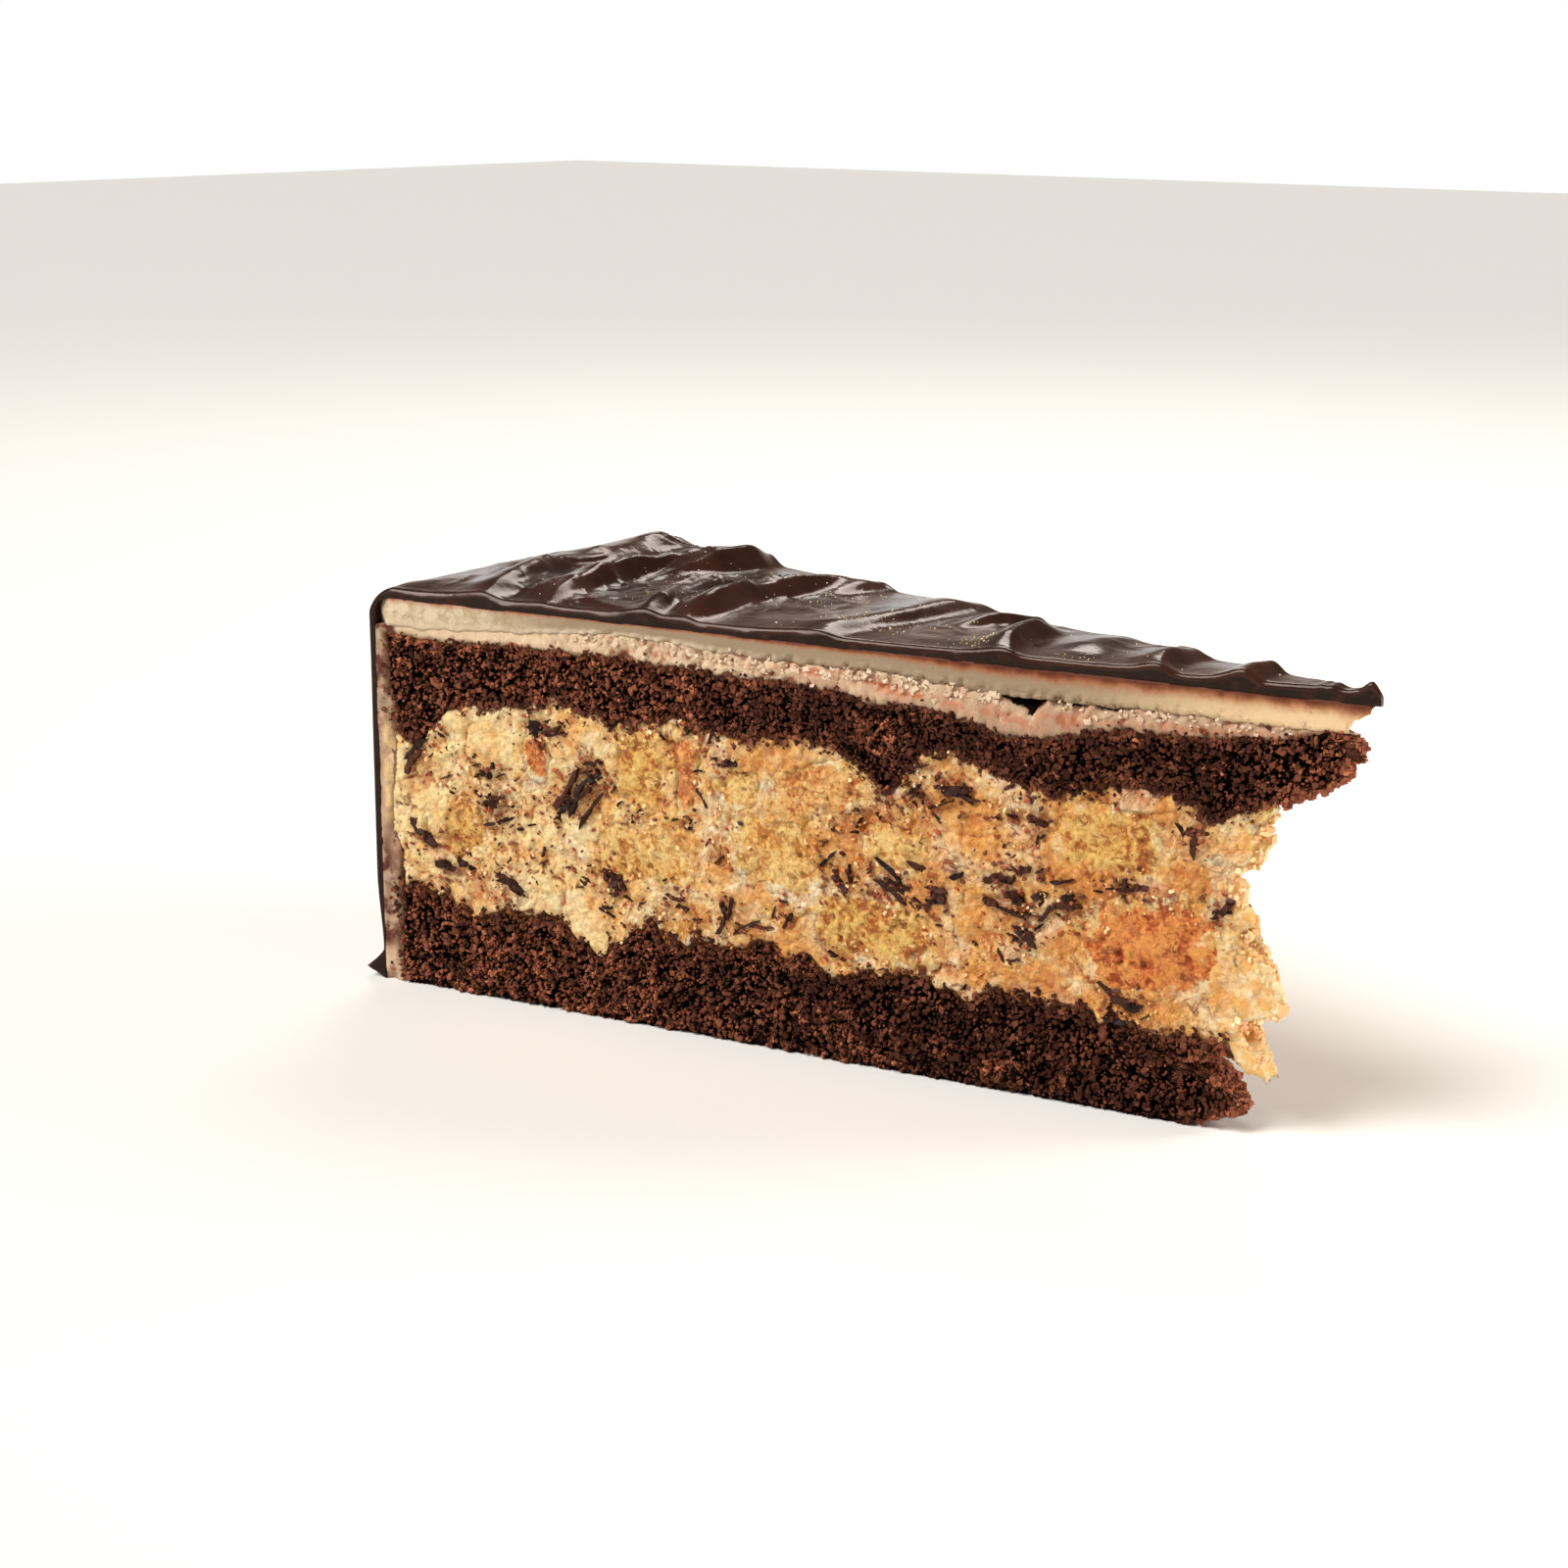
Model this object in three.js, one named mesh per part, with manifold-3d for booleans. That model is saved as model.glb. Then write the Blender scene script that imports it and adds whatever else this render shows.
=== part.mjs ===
// A slice of chocolate and orange layer cake, a sixteenth of a round cake, with its point torn off.
// From the top down: dark chocolate icing in waves, marzipan, pink cream, chocolate sponge, an orange
// cream filling set with chunks of golden sponge and shavings of chocolate, and a second chocolate sponge.
// Millimetres, +Z up. The point of the slice is towards +X, the rim of the cake towards -X, and one cut
// face is towards -Y (front) and the other towards +Y (back).
//
// Every layer is placed by three values: d, the distance from the cake's centre, turn, from -1 on the
// front cut to 1 on the back cut, and z.
import * as THREE from "three";
import { mergeVertices } from "three/addons/utils/BufferGeometryUtils.js";
import { ImprovedNoise } from "three/addons/math/ImprovedNoise.js";
import Module from "manifold-3d";

// Driving dimensions
const CUT_ANGLE = THREE.MathUtils.degToRad(22.5);
const HALF_ANGLE = CUT_ANGLE / 2;
const CAKE_RADIUS = 130.8;
const MARZIPAN_TOP = 49.5;
const ICING_THICKNESS = 1.0;
const ICING_SIDE = 0.9;
const ICING_SHOULDER = 3.3;
const ICING_TIP = 1.2;
const FOOT_REACH = 2.2;
const FOOT_HEIGHT = 3.9;
const CREAM_SIDE = 1.7;
const GAP = 0.3;
const POINT_ZONE = 32;
const POINT_STEPS = 11;
const STATION_STEP = 2.9;

// Radii and heights that follow from them
const INNER_RADIUS = CAKE_RADIUS - ICING_SIDE;
const CREAM_RADIUS = INNER_RADIUS - GAP;
const CORE_RADIUS = CREAM_RADIUS - CREAM_SIDE;
const FOOT_RADIUS = CAKE_RADIUS + FOOT_REACH;
const CENTRE_X = (FOOT_RADIUS + ICING_TIP * Math.cos(HALF_ANGLE)) / 2;
const ICING_TOP = MARZIPAN_TOP + ICING_THICKNESS;

// The icing's side: how far it leans in, the height where that starts, the height of its lip's edge, and the
// radius of its inner shoulder. The last stretch before its tip has stations closer together.
const SIDE_LEAN = 0.6;
const LEAN_HEIGHT = 14;
const LIP_HEIGHT = 1.2;
const INNER_SHOULDER = 2;
const CREST_BLEND = 0.25;
// The crests run out at the cuts: to a share of their height, over a reach from each cut, away from the point.
const CREST_RUNOUT = { share: 0.5, reach: 5, none: 8, whole: 30 };
const ICING_TIP_ZONE = 12;

// Crests of the icing: at is the distance d where a crest meets the middle of the slice, slant how far it
// runs towards the rim from the front cut to the back, rise its height, and from and to where it starts and
// ends across the slice. The side towards the rim is a long slope, steep is the short one towards the point.
const CRESTS = [
  { at: 119, slant: 10, rise: 2.0, from: -1.3, to: 1.3, slope: 6.5, steep: 3.2 },
  { at: 105.5, slant: 2, rise: 2.3, from: -0.95, to: 0.35, slope: 4.5, steep: 2.0 },
  { at: 100, slant: 8, rise: 2.9, from: 0.15, to: 1.4, slope: 8.0, steep: 2.2 },
  { at: 92.5, slant: 1, rise: 2.1, from: -1.3, to: 0.1, slope: 3.2, steep: 2.4 },
  { at: 84.5, slant: -2.5, rise: 2.6, from: -0.9, to: 0.75, slope: 4.6, steep: 2.0 },
  { at: 79.5, slant: 2, rise: 2.0, from: 0.5, to: 1.4, slope: 4.0, steep: 1.8 },
  { at: 66, slant: -6, rise: 1.5, from: -1.4, to: 1.3, slope: 7.0, steep: 3.0 },
  { at: 54.5, slant: -4, rise: 1.5, from: 0.1, to: 1.4, slope: 3.0, steep: 1.3 },
  { at: 45.5, slant: 1.5, rise: 2.2, from: -1.4, to: 0.55, slope: 3.6, steep: 2.2 },
  { at: 36, slant: 2, rise: 1.1, from: -0.4, to: 1.4, slope: 4.5, steep: 3.0 },
  { at: 27, slant: 0.5, rise: 1.9, from: -1.4, to: 1.4, slope: 3.2, steep: 1.9 },
  { at: 17.6, slant: 0, rise: 1.6, from: -1.4, to: 1.4, slope: 2.8, steep: 1.8 },
  { at: 2.6, slant: 0, rise: 1.2, from: -1.4, to: 1.4, slope: 1.3, steep: 1.1 },
];

// Swells and dips of the surfaces between the layers, as [d, rise, width], on the front and the back cut
const SPONGE_TOP_SWELLS = {
  front: [[120, -0.3, 6], [58, -1.2, 8], [42, -3.0, 9], [28, -1.3, 7], [15, -0.6, 6], [4, 1.0, 4]],
  back: [[95, -1.2, 8], [58, -2.2, 10], [30, -0.8, 6], [4, 1.3, 4]],
};
const FILLING_TOP_SWELLS = {
  front: [[125, -6.2, 4.5], [104, 1.4, 5], [88, 0.9, 5], [58.5, -4.2, 3.2], [50, 1.7, 3.5], [37, -1.6, 5],
    [19, -2.2, 3.6], [9, -1.5, 5]],
  back: [[125, -4.0, 5], [110, 1.2, 5], [93, -3.2, 4], [76, 1.0, 6], [52, -2.6, 4], [34, 0.8, 5], [19, -2.0, 3.6]],
};
const FILLING_FLOOR_SWELLS = {
  front: [[126, 1.6, 6], [97, -2.8, 3.2], [90, 1.9, 2.2], [74, 0.9, 5], [24, -1.2, 3], [9, -6.0, 6]],
  back: [[126, 1.0, 6], [104, 1.8, 4], [82, -1.8, 4], [60, 1.6, 4], [40, -1.4, 5], [9, -5.0, 6]],
};
const SPONGE_TOP = 45.1;
const FILLING_TOP = 37.9;
const FILLING_FLOOR = 10.9;
const MARZIPAN_FLOOR = 47.2;
const CAVITY = { at: 41, depth: 1.0, width: 5 };

// The torn point of each layer: how far from the cake's centre it ends, from its floor (0) to its roof (1).
// The tear runs askew, so that all of these grow from the front cut to the back.
const ASKEW = { middle: 1.175, slant: 0.171, bow: 0.169 };
const TEAR = 0.7;
const POINTS = {
  marzipan: [[0, 4.2], [0.35, 3.8], [0.7, 2.2], [1, 1.6]],
  cream: [[0, 5.5], [1, 5.0]],
  sponge_upper: [[0, 10.6], [0.26, 7.4], [0.4, 4.9], [0.54, 3.1], [0.63, 3.9], [0.8, 2.2], [1, 4.1]],
  filling: [[0, 10.2], [0.08, 12.6], [0.13, 14.1], [0.18, 10.8], [0.26, 9.2], [0.4, 11.6], [0.58, 13.1],
    [0.7, 14.6], [0.86, 11.6], [1, 11.0]],
  sponge_lower: [[0, 18.6], [0.12, 15.6], [0.3, 13.2], [0.42, 13.4], [0.54, 15.6], [0.66, 21.5], [0.78, 16.5],
    [1, 11.2]],
};

// Chunks of golden sponge in the filling: the cut (-1 front, 1 back), their middle [d, z], width and height, and
// turn in degrees. Near the point of the slice they are thinner, and each narrows a little inwards.
const CHUNK = { depth: 5.0, proud: 0.15, thinnest: 0.35, thinning: 60, spread: 1.16, taper: 0.3, uneven: 0.28 };
const POCKET_REACH = 2;
const CHUNKS = [
  { side: -1, at: [26.2, 19.4], size: [15.5, 9.6], turn: 14, kind: "orange" },
  { side: -1, at: [60.4, 16.9], size: [15.5, 7.2], turn: -4, kind: "yellow" },
  { side: -1, at: [90.4, 21.6], size: [13.6, 6.6], turn: 3, kind: "gold" },
  { side: -1, at: [91.4, 32.0], size: [6.0, 8.6], turn: 5, kind: "yellow" },
  { side: -1, at: [84.9, 32.2], size: [2.6, 8.0], turn: -4, kind: "orange" },
  { side: -1, at: [72.6, 23.6], size: [10.4, 8.0], turn: -6, kind: "gold" },
  { side: -1, at: [67.4, 32.6], size: [12.0, 5.6], turn: 16, kind: "crust" },
  { side: -1, at: [57.4, 26.6], size: [7.6, 4.8], turn: -10, kind: "gold" },
  { side: -1, at: [30.2, 31.4], size: [12.2, 7.0], turn: 4, kind: "yellow" },
  { side: -1, at: [117.4, 21.4], size: [5.4, 5.6], turn: 12, kind: "yellow" },
  { side: -1, at: [106.2, 32.0], size: [3.4, 5.6], turn: -3, kind: "orange" },
  { side: -1, at: [78.4, 31.0], size: [6.0, 4.2], turn: 20, kind: "gold" },
  { side: 1, at: [110.5, 22.6], size: [12.4, 8.0], turn: 10, kind: "gold" },
  { side: 1, at: [97.0, 28.6], size: [7.4, 6.0], turn: -15, kind: "yellow" },
  { side: 1, at: [86.0, 18.4], size: [10.6, 6.4], turn: 6, kind: "orange" },
  { side: 1, at: [72.0, 31.0], size: [11.0, 6.4], turn: -8, kind: "gold" },
  { side: 1, at: [62.0, 21.0], size: [8.4, 7.6], turn: 20, kind: "yellow" },
  { side: 1, at: [45.5, 28.2], size: [12.0, 7.0], turn: -12, kind: "crust" },
  { side: 1, at: [34.0, 18.2], size: [9.0, 6.4], turn: 8, kind: "gold" },
];

// Chocolate shavings that stand a little proud of the cut faces
const SHAVINGS = { count: 46, longest: 5.6, shortest: 1.8, thickness: 0.9, proud: 0.35, turns: 140, tries: 900 };
const SHAVINGS_AREA = { d: [20, 124], z: [15, 33.5] };

// Crumb of the sponges and crags of the cream: their depth and their width
const CRUMB = { depth: 1.1, size: 3.2 };
const CREAM_CRAGS = { depth: 0.7, size: 5 };
const MARZIPAN_CRAGS = { depth: 0.25, size: 4 };

const FINISHES = {
  icing: { color: 0x33211a, roughness: 0.22, metalness: 0 },
  marzipan: { color: 0xdccbaa, roughness: 0.55, metalness: 0 },
  cream: { color: 0xe2c3a6, roughness: 0.7, metalness: 0 },
  sponge: { color: 0x4a2718, roughness: 0.95, metalness: 0 },
  filling: { color: 0xe6bb80, roughness: 0.75, metalness: 0 },
  orange: { color: 0xc9762f, roughness: 0.85, metalness: 0 },
  crust: { color: 0xd18c46, roughness: 0.85, metalness: 0 },
  gold: { color: 0xdd9f52, roughness: 0.85, metalness: 0 },
  yellow: { color: 0xd6a856, roughness: 0.85, metalness: 0 },
};

const wasm = await Module();
wasm.setup();
const noise = new ImprovedNoise();
const { lerp, clamp, smoothstep, degToRad } = THREE.MathUtils;

// Seeded draws, so that the slice is the same each time
function drawsFrom(seed) {
  let state = seed;
  return () => {
    state = (state + 0x6d2b79f5) | 0;
    let t = Math.imul(state ^ (state >>> 15), 1 | state);
    t = (t + Math.imul(t ^ (t >>> 7), 61 | t)) ^ t;
    return ((t ^ (t >>> 14)) >>> 0) / 4294967296;
  };
}

// The value at t of a broken line through [t, value] pairs
function along(line, t) {
  const next = line.findIndex(([at]) => at >= t);
  if (next <= 0) return line[Math.max(next, 0)][1];
  const [[t0, v0], [t1, v1]] = [line[next - 1], line[next]];
  return lerp(v0, v1, (t - t0) / (t1 - t0));
}

function bump(distance, width) {
  return Math.exp(-((distance / width) ** 2));
}

// How far a round shoulder of a radius has dropped at a distance past its start
function shoulderDrop(past, radius) {
  const over = clamp(past, 0, radius);
  return radius - Math.sqrt(radius ** 2 - over ** 2);
}

function sumOfSwells(swells, d) {
  return swells.reduce((sum, [at, rise, width]) => sum + rise * bump(d - at, width), 0);
}

// Swells of a surface at d and turn: the front cut's run over into the back cut's through the food
function swell({ front, back }, d, turn) {
  const share = smoothstep(clamp(turn, -1, 1), -1, 1);
  return lerp(sumOfSwells(front, d), sumOfSwells(back, d), share);
}

function ripple(d, turn, size, seed) {
  const y = d * Math.sin(clamp(turn, -1, 1) * HALF_ANGLE);
  return noise.noise(d / size, y / size, seed);
}

function spongeTop(d, turn) {
  return SPONGE_TOP + swell(SPONGE_TOP_SWELLS, d, turn) + 0.25 * ripple(d, turn, 5, 1.7);
}

function fillingTop(d, turn) {
  return FILLING_TOP + swell(FILLING_TOP_SWELLS, d, turn) + 0.9 * ripple(d, turn, 6, 4.1);
}

function fillingFloor(d, turn) {
  return FILLING_FLOOR + swell(FILLING_FLOOR_SWELLS, d, turn) + 0.7 * ripple(d, turn, 5, 8.3);
}

function marzipanFloor(d, turn) {
  return MARZIPAN_FLOOR - 1.1 * smoothstep(d, 100, 126) + 0.15 * ripple(d, turn, 7, 2.9);
}

// The cream has sunk away from the marzipan in a short hollow at each cut
function creamTop(d, turn) {
  const sunk = CAVITY.depth * bump(d - CAVITY.at, CAVITY.width) * smoothstep(Math.abs(turn), 0.3, 0.9);
  return marzipanFloor(d, turn) - GAP - sunk;
}

// Height of the icing's crests above its thin parts
function waves(d, turn) {
  let height = 0.25 * (1 + ripple(d, turn, 9, 6.6));
  for (const c of CRESTS) {
    const line = c.at + (c.slant * turn) / 2 + 1.1 * ripple(d * 0.3, turn, 4, c.at);
    const away = d - line;
    const starts = smoothstep(turn, c.from - CREST_BLEND, c.from + CREST_BLEND);
    const ends = smoothstep(turn, c.to - CREST_BLEND, c.to + CREST_BLEND);
    const side = away > 0 ? Math.exp(-away / c.slope) : bump(away, c.steep);
    const crest = c.rise * starts * (1 - ends) * side;
    height = Math.hypot(height, crest);
  }
  return height;
}

// Top of the icing, which rounds over into the side of the cake
function icingTop(d, turn) {
  const drop = shoulderDrop(d - (CAKE_RADIUS - ICING_SHOULDER), ICING_SHOULDER);
  const toCut = (1 - Math.abs(turn)) * d * Math.sin(HALF_ANGLE);
  const { share, reach, none, whole } = CREST_RUNOUT;
  const runout = 1 - (1 - share) * smoothstep(d, none, whole) * (1 - smoothstep(toCut, 0, reach));
  return ICING_TOP + waves(d, turn) * runout * (1 - smoothstep(d, 126, CAKE_RADIUS)) - drop;
}

// The side of the icing leans in a little near its base and ends in a thin lip
function icingSide(z, turn) {
  const lean = SIDE_LEAN * (1 - smoothstep(z, FOOT_HEIGHT, LEAN_HEIGHT));
  const reach = FOOT_REACH * (0.55 + 0.45 * Math.cos(turn * Math.PI * 2)) + lean;
  const span = z > LIP_HEIGHT ? FOOT_HEIGHT - LIP_HEIGHT : LIP_HEIGHT;
  const lip = reach * Math.max(0, 1 - Math.abs(z - LIP_HEIGHT) / span);
  return CAKE_RADIUS - lean + lip;
}

// Distances from the centre that all layers share, from a rim radius to the torn point, so that layers
// which meet have the same corners; inside POINT_ZONE they close up towards each layer's own point.
function stationsFrom(rim) {
  const shared = [];
  for (let d = POINT_ZONE; d < CORE_RADIUS - 1; d += STATION_STEP) shared.unshift(d);
  const inPoint = Array.from({ length: POINT_STEPS }, (_, i) => -(i + 1) / POINT_STEPS);
  return [rim, ...shared, ...inPoint];
}

// A station is a distance, or in the point zone minus the share of the way to the point
function stationAt(station, end) {
  return station >= 0 ? station : lerp(POINT_ZONE, end, -station);
}

function evenly(count, from, to) {
  return Array.from({ length: count + 1 }, (_, i) => lerp(from, to, i / count));
}

// A box of shared corners, with its faces divided
function dividedBox(alongX, alongY, alongZ) {
  const box = new THREE.BoxGeometry(1, 1, 1, alongX, alongY, alongZ);
  box.deleteAttribute("normal");
  box.deleteAttribute("uv");
  return mergeVertices(box);
}

// A closed block of the slice. place(station, turn, level) gives { d, z, out }, where out moves a corner
// straight out of its cut face. A mirrored block splits its roof as its neighbour above splits its floor,
// so that twisted squares meet without crossing.
function sliceBlock({ stations, turns, levels, place, mirrored = false }) {
  const geometry = dividedBox(stations.length - 1, turns.length - 1, levels.length - 1);
  if (mirrored) {
    geometry.scale(1, -1, 1);
    geometry.index.array.reverse();
  }
  const corners = geometry.getAttribute("position");
  const pick = (list, share) => list[Math.round((share + 0.5) * (list.length - 1))];
  for (let i = 0; i < corners.count; i++) {
    const station = pick(stations, corners.getX(i));
    const turn = pick(turns, corners.getY(i));
    const level = pick(levels, corners.getZ(i));
    const { d, z, out = 0 } = place(station, turn, level);
    const angle = turn * HALF_ANGLE;
    corners.setXYZ(
      i,
      CENTRE_X - d * Math.cos(angle) + out * Math.sin(HALF_ANGLE),
      d * Math.sin(angle) + Math.sign(turn) * out * Math.cos(HALF_ANGLE),
      z,
    );
  }
  return geometry;
}

// Where a layer's torn point ends at a turn and a level
function pointOf(name, turn, level) {
  const askew = ASKEW.middle + ASKEW.slant * turn + ASKEW.bow * turn ** 2;
  return along(POINTS[name], level) * askew;
}

// Crumb and crags on a cut face: mostly hollows, with a few grains that stand out
function crags(d, turn, z, depth, size, seed) {
  if (Math.abs(turn) < 1) return 0;
  const side = turn * 31;
  const coarse = noise.noise(d / size, z / size, seed + side);
  const fine = noise.noise(d / (size * 0.45), z / (size * 0.45), seed + side + 9);
  return depth * (0.6 * coarse + 0.5 * fine - 0.15);
}

// One layer through the slice. Its cut faces are craggy between their edges, and its point is torn.
function layer({ name, rim, floor, roof, levels, rough = { depth: 0, size: 3 }, mirrored = false }) {
  const seed = name.length;
  return sliceBlock({
    stations: stationsFrom(rim),
    turns: evenly(4, -1, 1),
    levels: evenly(levels, 0, 1),
    mirrored,
    place: (station, turn, level) => {
      const torn = station === -1 ? TEAR * noise.noise(turn * 1.7, level * 3.1, seed) : 0;
      const d = stationAt(station, pointOf(name, turn, level)) + torn;
      const z = lerp(floor(d, turn), roof(d, turn), level);
      const inside = Math.min(1, 4 * level * (1 - level));
      return { d, z, out: inside * crags(d, turn, z, rough.depth, rough.size, seed) };
    },
  });
}

// A mesh as a solid that can be joined and cut, and back
function solidOf(geometry) {
  const bare = geometry.index ? geometry.clone() : mergeVertices(geometry);
  return new wasm.Manifold(
    new wasm.Mesh({
      numProp: 3,
      vertProperties: new Float32Array(bare.getAttribute("position").array),
      triVerts: new Uint32Array(bare.index.array),
    }),
  );
}

function geometryOf(solid) {
  const mesh = solid.getMesh();
  const geometry = new THREE.BufferGeometry();
  geometry.setAttribute("position", new THREE.BufferAttribute(mesh.vertProperties, 3));
  geometry.setIndex(new THREE.BufferAttribute(mesh.triVerts, 1));
  return geometry;
}

function mesh(name, geometry, finish) {
  geometry.computeVertexNormals();
  const made = new THREE.Mesh(geometry, new THREE.MeshStandardMaterial(FINISHES[finish]));
  made.name = name;
  return made;
}

// Shares from 0 to 1 along a quarter circle, as the shares of its radius that it has come in
function quarterCircle(count) {
  return evenly(count, 0, 1).map((t) => 1 - Math.cos((t * Math.PI) / 2));
}

// The inside of the icing, which the marzipan and the cream fill but for a gap
function icingHollow() {
  const start = INNER_RADIUS - INNER_SHOULDER;
  return sliceBlock({
    stations: [...quarterCircle(3).map((share) => INNER_RADIUS - INNER_SHOULDER * share), CAKE_RADIUS / 2, 0.2],
    turns: evenly(6, -1.2, 1.2),
    levels: [0, 1],
    place: (station, turn, level) => {
      const roof = MARZIPAN_TOP + GAP / 2 - shoulderDrop(station - start, INNER_SHOULDER);
      return { d: station, z: level ? roof : -1 };
    },
  });
}

// Dark chocolate over the top and down the rim, in one piece
function icing() {
  const start = CAKE_RADIUS - ICING_SHOULDER;
  const shoulder = quarterCircle(4).map((share) => CAKE_RADIUS - ICING_SHOULDER * share);
  const top = evenly(50, start - 1.5, ICING_TIP_ZONE);
  const tip = evenly(6, ICING_TIP_ZONE - 1.5, ICING_TIP);
  const sideHeights = [0, LIP_HEIGHT, 2 * LIP_HEIGHT, FOOT_HEIGHT, 9, LEAN_HEIGHT, 30, ICING_TOP - ICING_SHOULDER];
  const outer = sliceBlock({
    stations: [...shoulder, ...top, ...tip],
    turns: evenly(12, -1, 1),
    levels: evenly(sideHeights.length - 1, 0, 1),
    place: (station, turn, level) => {
      const side = sideHeights[Math.round(level * (sideHeights.length - 1))];
      if (station === CAKE_RADIUS) return { d: icingSide(side, turn), z: side };
      return { d: station, z: level === 1 ? icingTop(station, turn) : side };
    },
  });
  return solidOf(outer).subtract(solidOf(icingHollow()));
}

function marzipan() {
  return layer({
    name: "marzipan",
    rim: CREAM_RADIUS - 0.6,
    floor: (d, turn) => marzipanFloor(d, turn),
    roof: (d) => MARZIPAN_TOP - GAP / 2 - 0.5 * smoothstep(d, 127, CREAM_RADIUS),
    levels: 2,
    rough: MARZIPAN_CRAGS,
    mirrored: true,
  });
}

// Cream under the marzipan and down the rim, in one piece
function cream() {
  const outer = layer({
    name: "cream",
    rim: CREAM_RADIUS,
    floor: () => 0,
    roof: creamTop,
    levels: 5,
  });
  const turns = [-1.2, ...evenly(4, -1, 1), 1.2];
  const core = sliceBlock({
    stations: [CORE_RADIUS + GAP, ...stationsFrom(CORE_RADIUS).slice(1), -1.4],
    turns,
    levels: [0, 1],
    place: (station, turn, level) => {
      const d = Math.max(stationAt(station, 4.1), 0.2);
      return { d, z: level ? spongeTop(d, turn) + GAP / 2 : -1 };
    },
  });
  return solidOf(outer).subtract(solidOf(core));
}

function spongeUpper() {
  return layer({
    name: "sponge_upper",
    rim: CORE_RADIUS,
    floor: (d, turn) => fillingTop(d, turn) + GAP / 2,
    roof: (d, turn) => spongeTop(d, turn) - GAP / 2,
    levels: 4,
    rough: CRUMB,
  });
}

function spongeLower() {
  return layer({
    name: "sponge_lower",
    rim: CORE_RADIUS,
    floor: () => 0,
    roof: (d, turn) => fillingFloor(d, turn) - GAP / 2,
    levels: 5,
    rough: CRUMB,
  });
}

// A place on a cut face, moved out of it, with axes along the face: x towards the rim, y out, z up
function onCut(object, side, [d, z], out) {
  const angle = side * HALF_ANGLE;
  object.position.set(
    CENTRE_X - d * Math.cos(angle) + out * Math.sin(HALF_ANGLE),
    d * Math.sin(angle) + side * out * Math.cos(HALF_ANGLE),
    z,
  );
  object.rotation.set(0, 0, -angle);
}

// An uneven block of sponge whose outer face lies in the cut; grow makes the pocket for it
function chunkGeometry({ side, at, size: [width, height], turn }, grow) {
  const geometry = dividedBox(3, 1, 3);
  const corners = geometry.getAttribute("position");
  const depth = CHUNK.depth * clamp(at[0] / CHUNK.thinning, CHUNK.thinnest, 1);
  const front = grow ? CHUNK.proud + POCKET_REACH : CHUNK.proud;
  for (let i = 0; i < corners.count; i++) {
    const [x, y, z] = [corners.getX(i), corners.getY(i), corners.getZ(i)];
    const out = y * side > 0 ? front : -depth - grow;
    const rounding = 1 - 0.5 * (x * x + z * z);
    const narrowing = 1 + (CHUNK.taper * out) / depth;
    const uneven = 1 + CHUNK.uneven * noise.noise(x * 3 + at[0], z * 3 + at[1], 5.5);
    const share = CHUNK.spread * rounding * narrowing * uneven;
    corners.setXYZ(i, x * (width * share + 2 * grow), side * out, z * (height * share + 2 * grow));
  }
  const holder = new THREE.Object3D();
  onCut(holder, side, at, 0);
  holder.rotateY(degToRad(turn));
  holder.updateMatrix();
  return geometry.applyMatrix4(holder.matrix);
}

// Long thin shavings, the longest first, spread over both cuts clear of the chunks
function shavings() {
  const draw = drawsFrom(11);
  const made = [];
  for (let tries = 0; made.length < SHAVINGS.count && tries < SHAVINGS.tries; tries++) {
    const side = made.length % 2 ? 1 : -1;
    const at = [lerp(...SHAVINGS_AREA.d, draw()), lerp(...SHAVINGS_AREA.z, draw())];
    const length = lerp(SHAVINGS.longest, SHAVINGS.shortest, Math.sqrt(made.length / SHAVINGS.count));
    const turn = (draw() - 0.5) * SHAVINGS.turns;
    const reach = length / 2 + SHAVINGS.thickness;
    const clear = CHUNKS.every(
      (c) =>
        c.side !== side ||
        Math.abs(c.at[0] - at[0]) > c.size[0] * 0.58 + reach ||
        Math.abs(c.at[1] - at[1]) > c.size[1] * 0.58 + reach,
    );
    const apart = made.every(
      (m) => m.side !== side || Math.hypot(m.at[0] - at[0], m.at[1] - at[1]) > (length + m.length) * 0.55,
    );
    if (clear && apart) made.push({ side, at, length, turn });
  }
  return made.map(({ side, at, length, turn }) => {
    const sliver = new THREE.OctahedronGeometry(1, 0);
    sliver.deleteAttribute("normal");
    sliver.deleteAttribute("uv");
    const geometry = mergeVertices(sliver);
    const holder = new THREE.Object3D();
    onCut(holder, side, at, SHAVINGS.proud - SHAVINGS.thickness);
    holder.rotateY(degToRad(turn));
    holder.scale.set(length / 2, SHAVINGS.thickness, SHAVINGS.thickness * 0.6);
    holder.updateMatrix();
    return solidOf(geometry.applyMatrix4(holder.matrix));
  });
}

// Orange cream, with a pocket for each chunk and the largest shavings as part of it
function filling() {
  let solid = solidOf(
    layer({
      name: "filling",
      rim: CORE_RADIUS,
      floor: (d, turn) => fillingFloor(d, turn) + GAP / 2,
      roof: (d, turn) => fillingTop(d, turn) - GAP / 2,
      levels: 8,
      rough: CREAM_CRAGS,
      mirrored: true,
    }),
  );
  for (const sliver of shavings()) solid = solid.add(sliver);
  for (const chunk of CHUNKS) solid = solid.subtract(solidOf(chunkGeometry(chunk, GAP)));
  return solid;
}

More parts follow.
